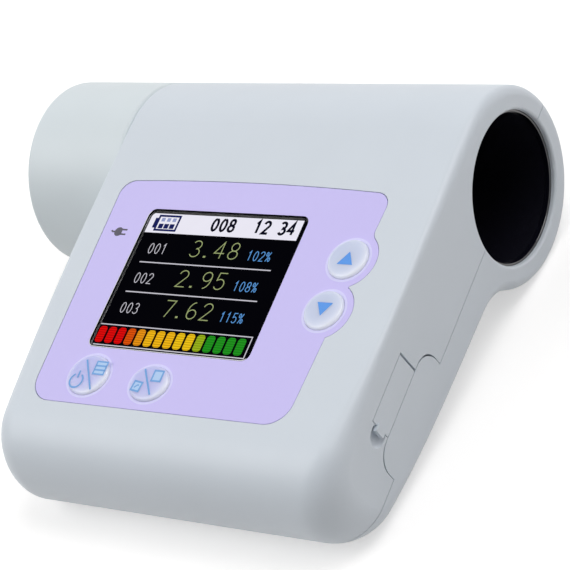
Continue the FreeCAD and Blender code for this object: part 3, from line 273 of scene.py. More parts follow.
@dataclass(frozen=True)
class FrostedKey(Finish):
    """A frosted key that light comes through, with a painted highlight that makes its rim paler on one side than
    its middle, and a faint painted glow there.
    """

    centre: Triple
    radius_mm: float
    middle: Colour
    # rim is the colour of the painted highlight on the key's rim.
    rim: Colour
    roughness: float = 0.3
    # glow is the strength of a painted glow on the rim; the key is no lamp.
    glow: float = 0.12
    haze_mm: float = 1.2
    edge_power: float = 4.0
    light_depth_mm: float = 1.4

    def dress(self, graph: Graph) -> Wire:
        """Builds the shader of the key.

        Args:
            graph: The material's tree.

        Returns:
            A wire from the shader.
        """
        sides = [graph.place(), self.centre]
        reach = graph.node("ShaderNodeVectorMath", {"operation": "DISTANCE"}, sides, "Value")
        # edge is the painted highlight's mask: it grows towards the rim, most on the side furthest from the
        # centre.
        edge = (reach / (self.radius_mm * MM)).math("MINIMUM", 1.0) ** self.edge_power
        haze = graph.noise(self.haze_mm, 2.0)
        return graph.surface({
            "Base Color": graph.mix(edge, self.middle, self.rim),
            "Roughness": self.roughness + 0.02 * haze,
            "Normal": graph.bump(haze, 0.0002, 0.5),
            # Painted glow: the rim gives off a little light of its own.
            "Emission Color": graph.mix(edge, BLACK, scaled(self.rim, self.glow)),
            "Emission Strength": 1.0,
            "Coat Weight": 0.2,
            **subsurface(0.7, self.light_depth_mm),
        })


@dataclass(frozen=True)
class PrintedFilm(Finish):
    """A film printed from behind: an even ink under a fine satin texture."""

    colour: Colour
    roughness: float = 0.33
    mottle_mm: float = 0.9
    wash_mm: float = 30.0
    satin_mm: float = 0.12

    def dress(self, graph: Graph) -> Wire:
        """Builds the shader of the film.

        Args:
            graph: The material's tree.

        Returns:
            A wire from the shader.
        """
        mottle = graph.noise(self.mottle_mm, 2.0)
        even = 0.35 * mottle + 0.65 * graph.noise(self.wash_mm, 1.0)
        return graph.surface({
            "Base Color": graph.mix(even, scaled(self.colour, 0.975), scaled(self.colour, 1.035)),
            "Roughness": self.roughness + 0.08 * (mottle - 0.5),
            "Normal": graph.bump(graph.noise(self.satin_mm, 1.0), 0.0015, 0.5),
            "Coat Weight": 0.15,
            "Coat Roughness": 0.2,
        })


@dataclass(frozen=True)
class Metal(Finish):
    """Plated or drawn metal with fine lines along X and a few dull spots."""

    colour: Colour
    roughness: float = 0.28
    line_mm: float = 0.05
    spot_mm: float = 1.6
    stretch: Triple = (0.03, 1.0, 1.0)

    def dress(self, graph: Graph) -> Wire:
        """Builds the shader of the metal.

        Args:
            graph: The material's tree.

        Returns:
            A wire from the shader.
        """
        stretched = graph.node("ShaderNodeMapping", values={"Vector": graph.place(), "Scale": self.stretch})
        lines = graph.noise(self.line_mm, 2.0, stretched)
        spots = graph.noise(self.spot_mm)
        return graph.surface({
            "Base Color": graph.mix(spots, scaled(self.colour, 0.86), self.colour),
            "Metallic": 1.0,
            "Roughness": self.roughness + 0.16 * (lines - 0.5) + 0.08 * spots,
            "Normal": graph.bump(lines, 0.0008, 0.5),
        })


@dataclass(frozen=True)
class ClearPart(Finish):
    """A clear part, such as the display window or a light pipe, with faint wipe marks."""

    tint: Colour
    gloss: float = 0.5
    haze: float = 0.02
    bend: float = 1.49
    wipe_mm: float = 5.0

    def dress(self, graph: Graph) -> Wire:
        """Builds the shader of the clear part.

        Args:
            graph: The material's tree.

        Returns:
            A wire from the shader.
        """
        return graph.surface({
            "Base Color": self.tint,
            "Roughness": self.haze + 0.3 * self.haze * graph.noise(self.wipe_mm),
            "Transmission Weight": 1.0,
            "IOR": self.bend,
            "Specular IOR Level": self.gloss,
        })


@dataclass(frozen=True)
class CircuitBoard(Finish):
    """Green solder mask over copper tracks that step in right angles."""

    mask: Colour
    track: Colour
    pitch_mm: float = 1.1
    track_share: float = 0.62

    def dress(self, graph: Graph) -> Wire:
        """Builds the shader of the board.

        Args:
            graph: The material's tree.

        Returns:
            A wire from the shader.
        """
        tiles = graph.node("ShaderNodeTexVoronoi", {"distance": "MANHATTAN", "feature": "F1"}, {
            "Vector": graph.place(), "Scale": 1 / (self.pitch_mm * MM), "Randomness": 0.6})
        raised = (3.0 * tiles).math("FRACT") > self.track_share
        return graph.surface({
            "Base Color": graph.mix(raised, self.mask, self.track),
            "Roughness": 0.34 + 0.1 * graph.noise(2.0),
            "Normal": graph.bump(raised, 0.02, 0.5),
            "Coat Weight": 0.3,
        })


@dataclass(frozen=True)
class Foam(Finish):
    """Closed-cell foam with open pores on its cut faces."""

    colour: Colour
    pore_mm: float = 0.25

    def dress(self, graph: Graph) -> Wire:
        """Builds the shader of the foam.

        Args:
            graph: The material's tree.

        Returns:
            A wire from the shader.
        """
        values = {"Vector": graph.place(), "Scale": 1 / (self.pore_mm * MM)}
        pores = graph.node("ShaderNodeTexVoronoi", values=values)
        return graph.surface({
            "Base Color": graph.mix(pores, self.colour, scaled(self.colour, 1.8)),
            "Roughness": 0.9,
            "Normal": graph.bump(pores, 0.06),
        })


@dataclass(frozen=True)
class Foil(Finish):
    """The cell's foil pouch: soft dents and a dull metal sheen."""

    colour: Colour
    dent_mm: float = 4.5

    def dress(self, graph: Graph) -> Wire:
        """Builds the shader of the foil.

        Args:
            graph: The material's tree.

        Returns:
            A wire from the shader.
        """
        dents = graph.noise(self.dent_mm)
        return graph.surface({
            "Base Color": self.colour,
            "Metallic": 0.7,
            "Roughness": 0.3 + 0.18 * dents,
            "Normal": graph.bump(dents, 0.12, 0.6),
        })


@dataclass(frozen=True)
class Lit(Finish):
    """A colour shown by the display: it glows by itself, row by row of picture elements."""

    colour: Colour = BLACK
    row_mm: float = 0.219
    depth: float = 0.16

    def shine(self, graph: Graph, colour: Any) -> Wire:
        """Builds a shader that glows in a colour and is a little darker between the rows.

        Args:
            graph: The material's tree.
            colour: The colour, or a wire from one.

        Returns:
            A wire from the shader.
        """
        turns = graph.along("Y") * (2 * math.pi / (self.row_mm * MM))
        between = self.depth * (0.5 + 0.5 * turns.math("SINE"))
        return graph.surface({
            "Base Color": BLACK,
            "Roughness": 0.5,
            "Specular IOR Level": 0.0,
            "Emission Color": graph.mix(between, colour, BLACK),
            "Emission Strength": 1.0,
        })

    def dress(self, graph: Graph) -> Wire:
        """Builds the shader of the lit colour."""
        return self.shine(graph, self.colour)


@dataclass(frozen=True)
class LitScale(Lit):
    """The lit bars, whose colour changes in steps along the scale."""

    start_mm: float = 0.0
    length_mm: float = 1.0
    stops: tuple[tuple[float, Colour], ...] = ()

    def dress(self, graph: Graph) -> Wire:
        """Builds the shader of the bars."""
        along = (graph.along("X") - self.start_mm * MM) / (self.length_mm * MM)
        return self.shine(graph, graph.node("ShaderNodeValToRGB", {"stops": self.stops}, [along]))


@dataclass(frozen=True)
class Ink(Finish):
    """Screen-printed ink, thin in places."""

    colour: Colour
    thin_mm: float = 0.35
    fade: float = 0.15

    def dress(self, graph: Graph) -> Wire:
        """Builds the shader of the ink.

        Args:
            graph: The material's tree.

        Returns:
            A wire from the shader.
        """
        thin = graph.noise(self.thin_mm, 2.0)
        pale = tuple((1 - self.fade) * channel + self.fade for channel in self.colour)
        return graph.surface({
            "Base Color": graph.mix(0.5 * thin, self.colour, pale),
            "Roughness": 0.45 + 0.1 * thin,
        })


class Slot(Enum):
    """The record's material slots, each with its finish."""

    CASE_PLASTIC = Moulded(linear(217, 225, 233), subsurface=0.06)
    COLLAR_PLASTIC = Moulded(linear(221, 230, 234), subsurface=0.06)
    PANEL_FILM = PrintedFilm(linear(208, 199, 253))
    LENS = ClearPart(WHITE, gloss=0.0, haze=0.0, bend=1.0)
    SCREEN = Lit((0.0015, 0.0015, 0.003), depth=0.1)
    BACKLIGHT = Moulded((0.75, 0.75, 0.75))
    SHEET_METAL = Metal((0.62, 0.62, 0.64))
    FOAM = Foam((0.02, 0.02, 0.02))
    KEY_PLASTIC = Moulded(linear(214, 222, 241), roughness=0.22, relief_mm=0.001, coat=0.4, subsurface=0.5)
    SWITCH_BLACK = Moulded((0.02, 0.02, 0.022), roughness=0.5)
    BOARD_GREEN = CircuitBoard((0.01, 0.12, 0.04), (0.03, 0.24, 0.08))
    CONNECTOR_CREAM = Moulded((0.72, 0.66, 0.52), roughness=0.5)
    AMBER_FLEX = CircuitBoard((0.45, 0.17, 0.02), (0.6, 0.28, 0.05), 0.8)
    DIODE_CLEAR = Moulded((0.10, 0.07, 0.11), roughness=0.15, relief_mm=0.0)
    CELL_WRAP = Foil((0.55, 0.6, 0.66))
    STEEL = Metal((0.6, 0.6, 0.62), roughness=0.22)
    TURBINE_BLACK = Moulded((0.008, 0.008, 0.014), roughness=0.25, relief_mm=0.001, coat=0.2)
    VANE_BLACK = Moulded((0.012, 0.012, 0.014), roughness=0.5)
    JEWEL = ClearPart((0.75, 0.02, 0.08))
    LIGHT_GUIDE = ClearPart((0.9, 0.94, 1.0), haze=0.1)

    @property
    def key(self) -> str:
        """The slot's name in the record."""
        return self.name.lower()


@dataclass(frozen=True)
class Device:
    """The object's own directions: along the tube, up the display and out of it, in millimetres.

    Its origin is the point where the tube's axis meets the tube's right end.
    """

    origin: Vector
    along: Vector
    upward: Vector
    outward: Vector

    @classmethod
    def from_frame(cls) -> "Device":
        """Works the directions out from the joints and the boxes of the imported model.

        Returns:
            The device's directions.
        """
        joints = {joint["name"]: joint for joint in frame["joints"]}
        outward = -Vector(joints["up_key_press"]["axis"]).normalized()
        along = -Vector(joints["cartridge_slide"]["axis"]).normalized()
        low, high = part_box("turbine_collar")
        middle = (low + high) / 2
        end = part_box("front_shell")[1].x
        return cls(Vector((end, middle.y, middle.z)), along, outward.cross(along), outward)

    def matrix(self, x: float = 0.0, y: float = 0.0, z: float = 0.0) -> Matrix:
        """Places a mesh that is drawn in millimetres, with its own zero at a point of the device."""
        turn = Matrix((self.along, self.upward, self.outward)).transposed().to_4x4()
        return Matrix.Translation(self.origin) @ turn @ Matrix.Scale(MM, 4) @ Matrix.Translation((x, y, z))

    def points(self, node: str) -> list[Vector]:
        """Gives a node's corner points in the device's millimetres."""
        back = self.matrix().inverted()
        return [back @ vertex.co for vertex in frame["nodes"][node].data.vertices]

    def box(self, node: str) -> tuple[Vector, Vector]:
        """Gives a node's lowest and highest corner in the device's millimetres."""
        sides = list(zip(*self.points(node)))
        return Vector(map(min, sides)), Vector(map(max, sides))

    def top(self, node: str) -> Vector:
        """Gives the middle of a node's top face in the device's millimetres."""
        low, high = self.box(node)
        return Vector(((low.x + high.x) / 2, (low.y + high.y) / 2, high.z))


DEVICE = Device.from_frame()


def add_object(name: str, data: Any) -> bpy.types.Object:
    """Makes an object and puts it into the scene.

    Args:
        name: The object's name.
        data: Its mesh, lamp or camera.

    Returns:
        The object.
    """
    made = bpy.data.objects.new(name, data)
    bpy.context.scene.collection.objects.link(made)
    return made


class Workshop:
    """Makes materials once and turns meshes into pieces that ride on their bodies."""

    materials: ClassVar[dict[Finish, bpy.types.Material]] = {}

    @classmethod
    def material(cls, name: str, finish: Finish) -> bpy.types.Material:
        """Gives the material of a finish, and makes it the first time."""
        cls.materials[finish] = cls.materials.get(finish) or finish.material(name)
        return cls.materials[finish]

    @classmethod
    def piece(cls, name: str, mesh: bpy.types.Mesh, finish: Finish, slot: Slot, body: str = "housing",
              replaced: Iterable[str] = ()) -> None:
        """Makes one finished piece.

        Args:
            name: The piece's name.
            mesh: Its mesh, already in place.
            finish: What its surface is.
            slot: The record's slot that its finish belongs to; not used.
            body: The body that it moves with.
            replaced: CAD nodes that it stands for.
        """
        mesh.name = name
        mesh.materials.clear()
        mesh.materials.append(cls.material(name, finish))
        made = add_object(name, mesh)
        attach(made, body)
        for node in replaced:
            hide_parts(node)
        LOG.info("piece %s: %d faces on %s", name, len(mesh.polygons), body)


def prism(outlines: Outlines, thickness: float) -> bmesh.types.BMesh:
    """Builds flat plates from closed outlines.

    Args:
        outlines: Corner points in millimetres, each outline counter-clockwise.
        thickness: The plates' thickness in millimetres.

    Returns:
        The mesh, with its lower faces at zero.
    """
    made = bmesh.new()
    for outline in outlines:
        low = [made.verts.new((x, y, 0.0)) for x, y in outline]
        high = [made.verts.new((x, y, thickness)) for x, y in outline]
        made.faces.new(reversed(low))
        made.faces.new(high)
        for i in range(len(outline)):
            j = (i + 1) % len(outline)
            made.faces.new((low[i], low[j], high[j], high[i]))
    return made


def ribbon(points: Sequence[Point], width: float, closed: bool = False) -> list[list[Point]]:
    """Turns a line into outlines of a stroke with a width, one four-cornered outline for each run.

    Args:
        points: The line's points in millimetres.
        width: The stroke's width.
        closed: Whether the last point joins the first.

    Returns:
        The outlines of the runs, whose shared ends are mitred.
    """
    line = [Vector(point) for point in points]
    count = len(line)
    sides = []
    for i, point in enumerate(line):
        ways = []
        if closed or i > 0:
            ways.append((point - line[i - 1]).normalized())
        if closed or i < count - 1:
            ways.append((line[(i + 1) % count] - point).normalized())
        along = sum(ways, Vector((0.0, 0.0))).normalized()
        across = Vector((-along.y, along.x))
        reach = width / 2 / max(MITRE_LIMIT, along.dot(ways[0]))
        sides.append((point + across * reach, point - across * reach))
    outlines = []
    for i in range(count if closed else count - 1):
        (left_a, right_a), (left_b, right_b) = sides[i], sides[(i + 1) % count]
        outlines.append([tuple(right_a), tuple(right_b), tuple(left_b), tuple(left_a)])
    return outlines


def arc(centre: Point, radius: float, start: float, end: float, steps: int = 20) -> list[Point]:
    """Gives points of an arc between two angles in degrees."""
    turns = [math.radians(start + (end - start) * i / steps) for i in range(steps + 1)]
    return [(centre[0] + radius * math.cos(turn), centre[1] + radius * math.sin(turn)) for turn in turns]


def bow(x: float, y: float, half_x: float, half_y: float, start: float, end: float) -> list[Point]:
    """Gives points of an oval bow between two angles in degrees."""
    return [(x + half_x * px, y + half_y * py) for px, py in arc((0.0, 0.0), 1.0, start, end, 12)]


def rectangle(left: float, bottom: float, right: float, top: float) -> list[Point]:
    """Gives the corners of a rectangle, counter-clockwise."""
    return [(left, bottom), (right, bottom), (right, top), (left, top)]


def to_mesh(source: bmesh.types.BMesh, place: Matrix) -> bpy.types.Mesh:
    """Turns a drawn mesh into a finished one, with shared corners merged.

    Args:
        source: What was drawn, which is used up.
        place: Where it goes.

    Returns:
        The mesh in its place.
    """
    bmesh.ops.remove_doubles(source, verts=source.verts, dist=1e-5)
    bmesh.ops.recalc_face_normals(source, faces=source.faces)
    mesh = bpy.data.meshes.new("mesh")
    source.to_mesh(mesh)
    source.free()
    mesh.transform(place)
    return mesh


def plates(name: str, outlines: Outlines, thickness: float, place: Matrix, finish: Finish, slot: Slot,
           body: str = "housing") -> None:
    """Makes one piece of flat plates from their outlines."""
    Workshop.piece(name, to_mesh(prism(outlines, thickness), place), finish, slot, body)


@dataclass(frozen=True)
class Figures:
    """Figures drawn with strokes in a cell 1 wide and 1.6 high, and set at a size in millimetres."""

    height: float
    step: float
    weight: float
    CELL: ClassVar[float] = 1.6
    FILL: ClassVar[float] = 0.82
    STROKES: ClassVar[dict[str, list[list[Point]]]] = {
        "0": [bow(0.5, 0.8, 0.37, 0.8, 90, 450)],
        "1": [[(0.25, 1.25), (0.52, 1.6), (0.52, 0.0)]],
        "2": [bow(0.5, 1.18, 0.37, 0.42, 170, -25) + [(0.13, 0.0), (0.9, 0.0)]],
        "3": [bow(0.47, 1.2, 0.36, 0.4, 150, -80) + bow(0.47, 0.42, 0.4, 0.42, 80, -155)],
        "4": [[(0.68, 0.0), (0.68, 1.6), (0.1, 0.5), (0.95, 0.5)]],
        "5": [[(0.85, 1.6), (0.22, 1.6), (0.17, 0.88)] + bow(0.47, 0.5, 0.4, 0.5, 120, -150)],
        "6": [bow(0.62, 0.75, 0.5, 0.85, 95, 185) + bow(0.5, 0.45, 0.38, 0.45, 180, 540)],
        "7": [[(0.1, 1.6), (0.9, 1.6), (0.38, 0.0)]],
        "8": [bow(0.5, 1.2, 0.32, 0.4, 0, 360), bow(0.5, 0.41, 0.39, 0.41, 0, 360)],
        "9": [bow(0.38, 0.85, 0.5, 0.85, -85, 5) + bow(0.5, 1.15, 0.38, 0.45, 0, 360)],
        ".": [[(0.4, 0.03), (0.6, 0.03)], [(0.4, 0.11), (0.6, 0.11)]],
        "%": [bow(0.22, 1.25, 0.17, 0.32, 0, 360), bow(0.78, 0.35, 0.17, 0.32, 0, 360),
              [(0.8, 1.6), (0.2, 0.0)]],
    }

    def outlines(self, word: str, left: float, base: float) -> list[list[Point]]:
        """Sets one word.

        Args:
            word: The figures.
            left: The first figure's left edge in millimetres.
            base: The base line.

        Returns:
            The strokes' outlines.
        """
        wide, tall = self.FILL * self.step, self.height / self.CELL
        result = []
        for i, figure in enumerate(word):
            for stroke in self.STROKES[figure]:
                points = [(left + i * self.step + wide * x, base + tall * y) for x, y in stroke]
                result += ribbon(points, self.weight)
        return result


class GeometryTree(Graph):
    """A Geometry Nodes tree with named inputs that ends as a plain mesh."""

    def __init__(self, name: str) -> None:
        """Makes an empty tree with a geometry input and output.

        Args:
            name: The tree's name.
        """
        super().__init__(bpy.data.node_groups.new(name, "GeometryNodeTree"))
        for way in ("INPUT", "OUTPUT"):
            self.tree.interface.new_socket("Geometry", in_out=way, socket_type="NodeSocketGeometry")
        self.sizes: dict[str, float] = {}
        self.start = self.node("NodeGroupInput").socket.node

    def inputs(self, sizes: Mapping[str, float]) -> list[Wire]:
        """Adds named inputs.

        Args:
            sizes: Names with sizes in millimetres, or with a whole number for a count.

        Returns:
            A wire from each input.
        """
        for name, value in sizes.items():
            kind = "NodeSocketInt" if isinstance(value, int) else "NodeSocketFloat"
            item = self.tree.interface.new_socket(name, in_out="INPUT", socket_type=kind)
            item.default_value = value
            self.sizes[item.identifier] = value
        return [Wire(self, self.start.outputs[name]) for name in sizes]

    def vector(self, x: Any = 0.0, y: Any = 0.0, z: Any = 0.0) -> Wire:
        """Joins three values into a vector."""
        return self.node("ShaderNodeCombineXYZ", values=[x, y, z])

    def moved(self, shape: Wire, by: Wire, turn: Triple = (0.0, 0.0, 0.0)) -> Wire:
        """Moves and turns a shape."""
        return self.node("GeometryNodeTransform", values={0: shape, "Translation": by, "Rotation": turn})

    def finish(self, points: Wire, shape: Wire, material: bpy.types.Material) -> None:
        """Ends the tree: a copy on every point, made real and dressed.

        Args:
            points: Where the copies go.
            shape: What is copied.
            material: The material that the copies take.
        """
        copies = self.node("GeometryNodeInstanceOnPoints", values={"Points": points, "Instance": shape})
        real = self.node("GeometryNodeRealizeInstances", values=[copies])
        dressed = self.node("GeometryNodeSetMaterial", values={0: real, "Material": material})
        self.node("NodeGroupOutput", values=[dressed])

    def bake(self, places: Sequence[Point] = ()) -> bpy.types.Mesh:
        """Runs the tree over points and gives the result as a plain mesh.

        Args:
            places: The points that the tree reads as its geometry.

        Returns:
            The mesh.
        """
        seed = bpy.data.meshes.new("seed")
        seed.from_pydata([(x, y, 0.0) for x, y in places], [], [])
        holder = add_object("holder", seed)
        modifier = holder.modifiers.new("nodes", "NODES")
        modifier.node_group = self.tree
        for identifier, value in self.sizes.items():
            modifier[identifier] = value
        bpy.context.view_layer.update()
        depsgraph = bpy.context.evaluated_depsgraph_get()
        mesh = bpy.data.meshes.new_from_object(holder.evaluated_get(depsgraph))
        holder.modifiers.remove(modifier)
        bpy.data.objects.remove(holder)
        return mesh


@dataclass
class Housing:
    """The CAD nodes that stay: each takes the finish of its material slot."""

    skip: frozenset[str] = frozenset({"case_screws", "board_screws"})
    round_middle: Colour = linear(206, 215, 239)
    oval_middle: Colour = linear(198, 200, 255)
    # The painted highlight on the keys' rims: its colour, how far its middle is shifted, and its reach as a share
    # of the key's half width.
    key_rim: Colour = linear(235, 239, 252)
    lean: float = 0.16
    rim_share: float = 1.1

    def frosted(self, key: str) -> FrostedKey:
        """Gives a key its finish, whose middle lies a little towards the upper left, so that the painted highlight
        falls on the lower right of its rim.

        Args:
            key: The key's short name.

        Returns:
            The finish.
        """
        low, high = DEVICE.box("key_" + key)
        half = (high.x - low.x) / 2
        centre = DEVICE.matrix() @ (DEVICE.top("key_" + key) + self.lean * half * Vector((-1.0, 1.0, 0.0)))
        colour = self.round_middle if key in ("up", "down") else self.oval_middle
        return FrostedKey(tuple(centre), self.rim_share * half, colour, self.key_rim)

    def build(self) -> None:
        """Dresses every node with its slot's finish, and the keys with their own."""
        for subpart in frame["record"]["subparts"]:
            node, slot = subpart["node"], Slot[subpart["material_slot"].upper()]
            if node in self.skip:
                continue
            dressed = frame["nodes"][node]
            key = node.removeprefix("key_")
            material = Workshop.material(slot.key, self.frosted(key) if key in KEYS else slot.value)
            if not dressed.material_slots:
                dressed.data.materials.append(material)
            for place in dressed.material_slots:
                place.material = material
            LOG.info("node %s: %s", node, slot.key)


@dataclass
class Trim:
    """Thin trims: the outlet's black lip, the window's black paint, a bright strip on the window's edge that is a
    painted highlight, and pale rings round the keys that are a painted glow.
    """

    outlet_radius: float = 13.69
    lip_radius: float = 13.25
    lip_front: float = -0.95
    lip_back: float = -2.0
    lip_round: float = 0.2
    round_steps: int = 5
    segments: int = 144
    lip: Moulded = Moulded((0.006, 0.006, 0.012), roughness=0.1, relief_mm=0.0005, coat=0.8)
    window_round: float = 1.5
    liner_shift: float = 0.045
    liner_width: float = 0.05
    liner_gaps: Point = (0.01, 0.02)
    edge_width: float = 0.11
    edge_thickness: float = 0.02
    # edge is the bright metal of the strip that paints the glint on the window's edge.
    edge: Metal = Metal((0.86, 0.87, 0.9), roughness=0.2)
    # The pale rings round the keys are a painted glow; they reach over most of the gap round each key and hide the
    # gap's shadow.
    halo: Ink = Ink(linear(218, 215, 255))
    halo_gap: float = 0.03
    halo_width: float = 0.5
    halo_thickness: float = 0.01
    halo_steps: int = 72
    key_depth: float = 0.5
    lift: float = 0.002

    def build_outlet_lip(self) -> None:
        """Turns the black lip that lines the outlet up to the sleeve's end."""
        profile = [(self.lip_front + self.lip_round * (x - 1), self.lip_radius + self.lip_round * (1 - y))
                   for x, y in arc((0.0, 0.0), 1.0, 90, 0, self.round_steps)]
        profile += [(self.lip_front, self.outlet_radius), (self.lip_back, self.outlet_radius),
                    (self.lip_back, self.lip_radius)]
        made = bmesh.new()
        turns = arc((0.0, 0.0), 1.0, 0, 360, self.segments)[:-1]
        rings = [[made.verts.new((x, r * y, r * z)) for x, r in profile] for y, z in turns]
        for i, ring in enumerate(rings):
            after = rings[(i + 1) % self.segments]
            for j in range(len(profile)):
                k = (j + 1) % len(profile)
                made.faces.new((ring[j], ring[k], after[k], after[j]))
        Workshop.piece("outlet_lip", to_mesh(made, DEVICE.matrix()), self.lip, Slot.TURBINE_BLACK)

    def build_window_edge(self) -> None:
        """Makes a thin bright strip at the left and lower side of the display window only, a painted highlight for
        the glint on the edge of the window's pane.
        """
        low, high = DEVICE.box("display_window")
        r = self.window_round
        # Painted highlight: the strip runs only along the left and lower sides, where the glint falls.
        line = arc((low.x + r, high.y - r), r, 135, 180, 5) + arc((low.x + r, low.y + r), r, 180, 270, 8)
        line += arc((high.x - r, low.y + r), r, 270, 315, 5)
        plates("window_glint", ribbon(line, self.edge_width), self.edge_thickness,
               DEVICE.matrix(z=high.z + self.lift), self.edge, Slot.PANEL_FILM)

    def build_window_liner(self) -> None:
        """Makes the black paint on the sides of the window's pane."""
        low, high = DEVICE.box("display_window")
        r, out = self.window_round, self.window_round + self.liner_shift
        line = []
        for x, y, start in ((high.x - r, high.y - r, 0), (low.x + r, high.y - r, 90),
                            (low.x + r, low.y + r, 180), (high.x - r, low.y + r, 270)):
            line += arc((x, y), out, start, start + 90, 10)
        below, above = self.liner_gaps
        plates("window_liner", ribbon(line, self.liner_width, closed=True), high.z - low.z - below - above,
               DEVICE.matrix(z=low.z + below), Slot.SCREEN.value, Slot.SCREEN)

    def build_halo(self, key: str) -> None:
        """Paints a pale ring on the film round one key, after the key's own outline: a painted glow round the key,
        whose inner edge also covers most of the shadow in the gap round the key.

        Args:
            key: The key's short name.
        """
        film_top = DEVICE.box("overlay_panel")[1].z
        flat = [Vector((point.x, point.y)) for point in DEVICE.points("key_" + key)
                if point.z > film_top - self.key_depth]
        outline = [flat[i] for i in convex_hull_2d(flat)]
        reach = self.halo_gap + self.halo_width / 2
        ways = [Vector(point) for point in arc((0.0, 0.0), 1.0, 0, 360, self.halo_steps)[:-1]]
        line = [max(outline, key=way.dot) + way * reach for way in ways]
        plates("halo_" + key, ribbon(line, self.halo_width, closed=True), self.halo_thickness,
               DEVICE.matrix(z=film_top + self.lift), self.halo, Slot.PANEL_FILM)

    def build(self) -> None:
        """Makes the trims."""
        self.build_outlet_lip()
        self.build_window_edge()
        self.build_window_liner()
        for key in KEYS:
            self.build_halo(key)


@dataclass
class Screws:
    """One set of cross-recessed screws driven from behind, made by a node tree over their places.

    The head's parts and the cross are shares of the head's height and radius.
    """

    name: str
    places: tuple[Point, ...]
    seat: float
    head_radius: float
    head_height: float
    shank_radius: float
    shank_length: float
    slot_width: float
    slot_reach: float = 0.6
    slot_depth: float = 0.6
    rim_height: float = 0.5
    dome_height: float = 0.52
    dome_middle: float = 0.48
    dome_foot: float = 0.999
    dome_top: float = 0.7
    sunk: float = 0.2
    vertices: int = 48

    def build_tree(self) -> GeometryTree:
        """Builds the tree: a domed head on a shank, cut by a cross, put on every point.

        Returns:
            The tree.
        """
        tree = GeometryTree(self.name)
        radius, height, width, shank, length = tree.inputs({
            "Head radius": self.head_radius, "Head height": self.head_height, "Slot width": self.slot_width,
            "Shank radius": self.shank_radius, "Shank length": self.shank_length})
        count = {"Vertices": self.vertices}
        rim = tree.node("GeometryNodeMeshCylinder", values={
            **count, "Radius": radius, "Depth": self.rim_height * height})
        dome = tree.node("GeometryNodeMeshCone", values={
            **count, "Radius Top": self.dome_top * radius, "Radius Bottom": self.dome_foot * radius,
            "Depth": self.dome_height * height})
        stem = tree.node("GeometryNodeMeshCylinder", values={
            **count, "Radius": shank, "Depth": length + self.sunk})
        solid = tree.node("GeometryNodeMeshBoolean", {"operation": "UNION", "solver": "EXACT"}, {"Mesh 2": [
            tree.moved(rim, tree.vector(z=-self.rim_height / 2 * height)),
            tree.moved(dome, tree.vector(z=-self.dome_middle * height), (math.pi, 0.0, 0.0)),
            tree.moved(stem, tree.vector(z=0.5 * length - self.sunk / 2))]})
        size = tree.vector(2 * self.slot_reach * radius, width, 2 * self.slot_depth * height)
        bar = tree.node("GeometryNodeMeshCube", values=[size])
        slots = [tree.moved(bar, tree.vector(z=-1 * height), (0.0, 0.0, turn)) for turn in (0.0, math.pi / 2)]
        cut = tree.node("GeometryNodeMeshBoolean", {"operation": "DIFFERENCE", "solver": "EXACT"}, {
            "Mesh 1": solid, "Mesh 2": slots})
        points = Wire(tree, tree.start.outputs["Geometry"])
        tree.finish(points, cut, Workshop.material(Slot.STEEL.key, Slot.STEEL.value))
        return tree

    def build(self) -> None:
        """Makes the screws in place of the plain ones."""
        mesh = self.build_tree().bake(self.places)
        mesh.transform(DEVICE.matrix(z=self.seat))
        Workshop.piece(self.name + "_cross", mesh, Slot.STEEL.value, Slot.STEEL, replaced=[self.name])


CASE_SCREWS = Screws(
    "case_screws", ((-6.0, -21.6), (-70.0, -21.6), (-8.5, -62.4), (-67.5, -62.4)), seat=-1.2,
    head_radius=2.2, head_height=1.5, shank_radius=1.2, shank_length=9.5, slot_width=0.8)
BOARD_SCREWS = Screws(
    "board_screws", ((-69.6, -40.0), (-7.0, -33.0), (-32.0, -61.0)), seat=6.8,
    head_radius=1.8, head_height=1.3, shank_radius=0.9, shank_length=5.0, slot_width=0.65)


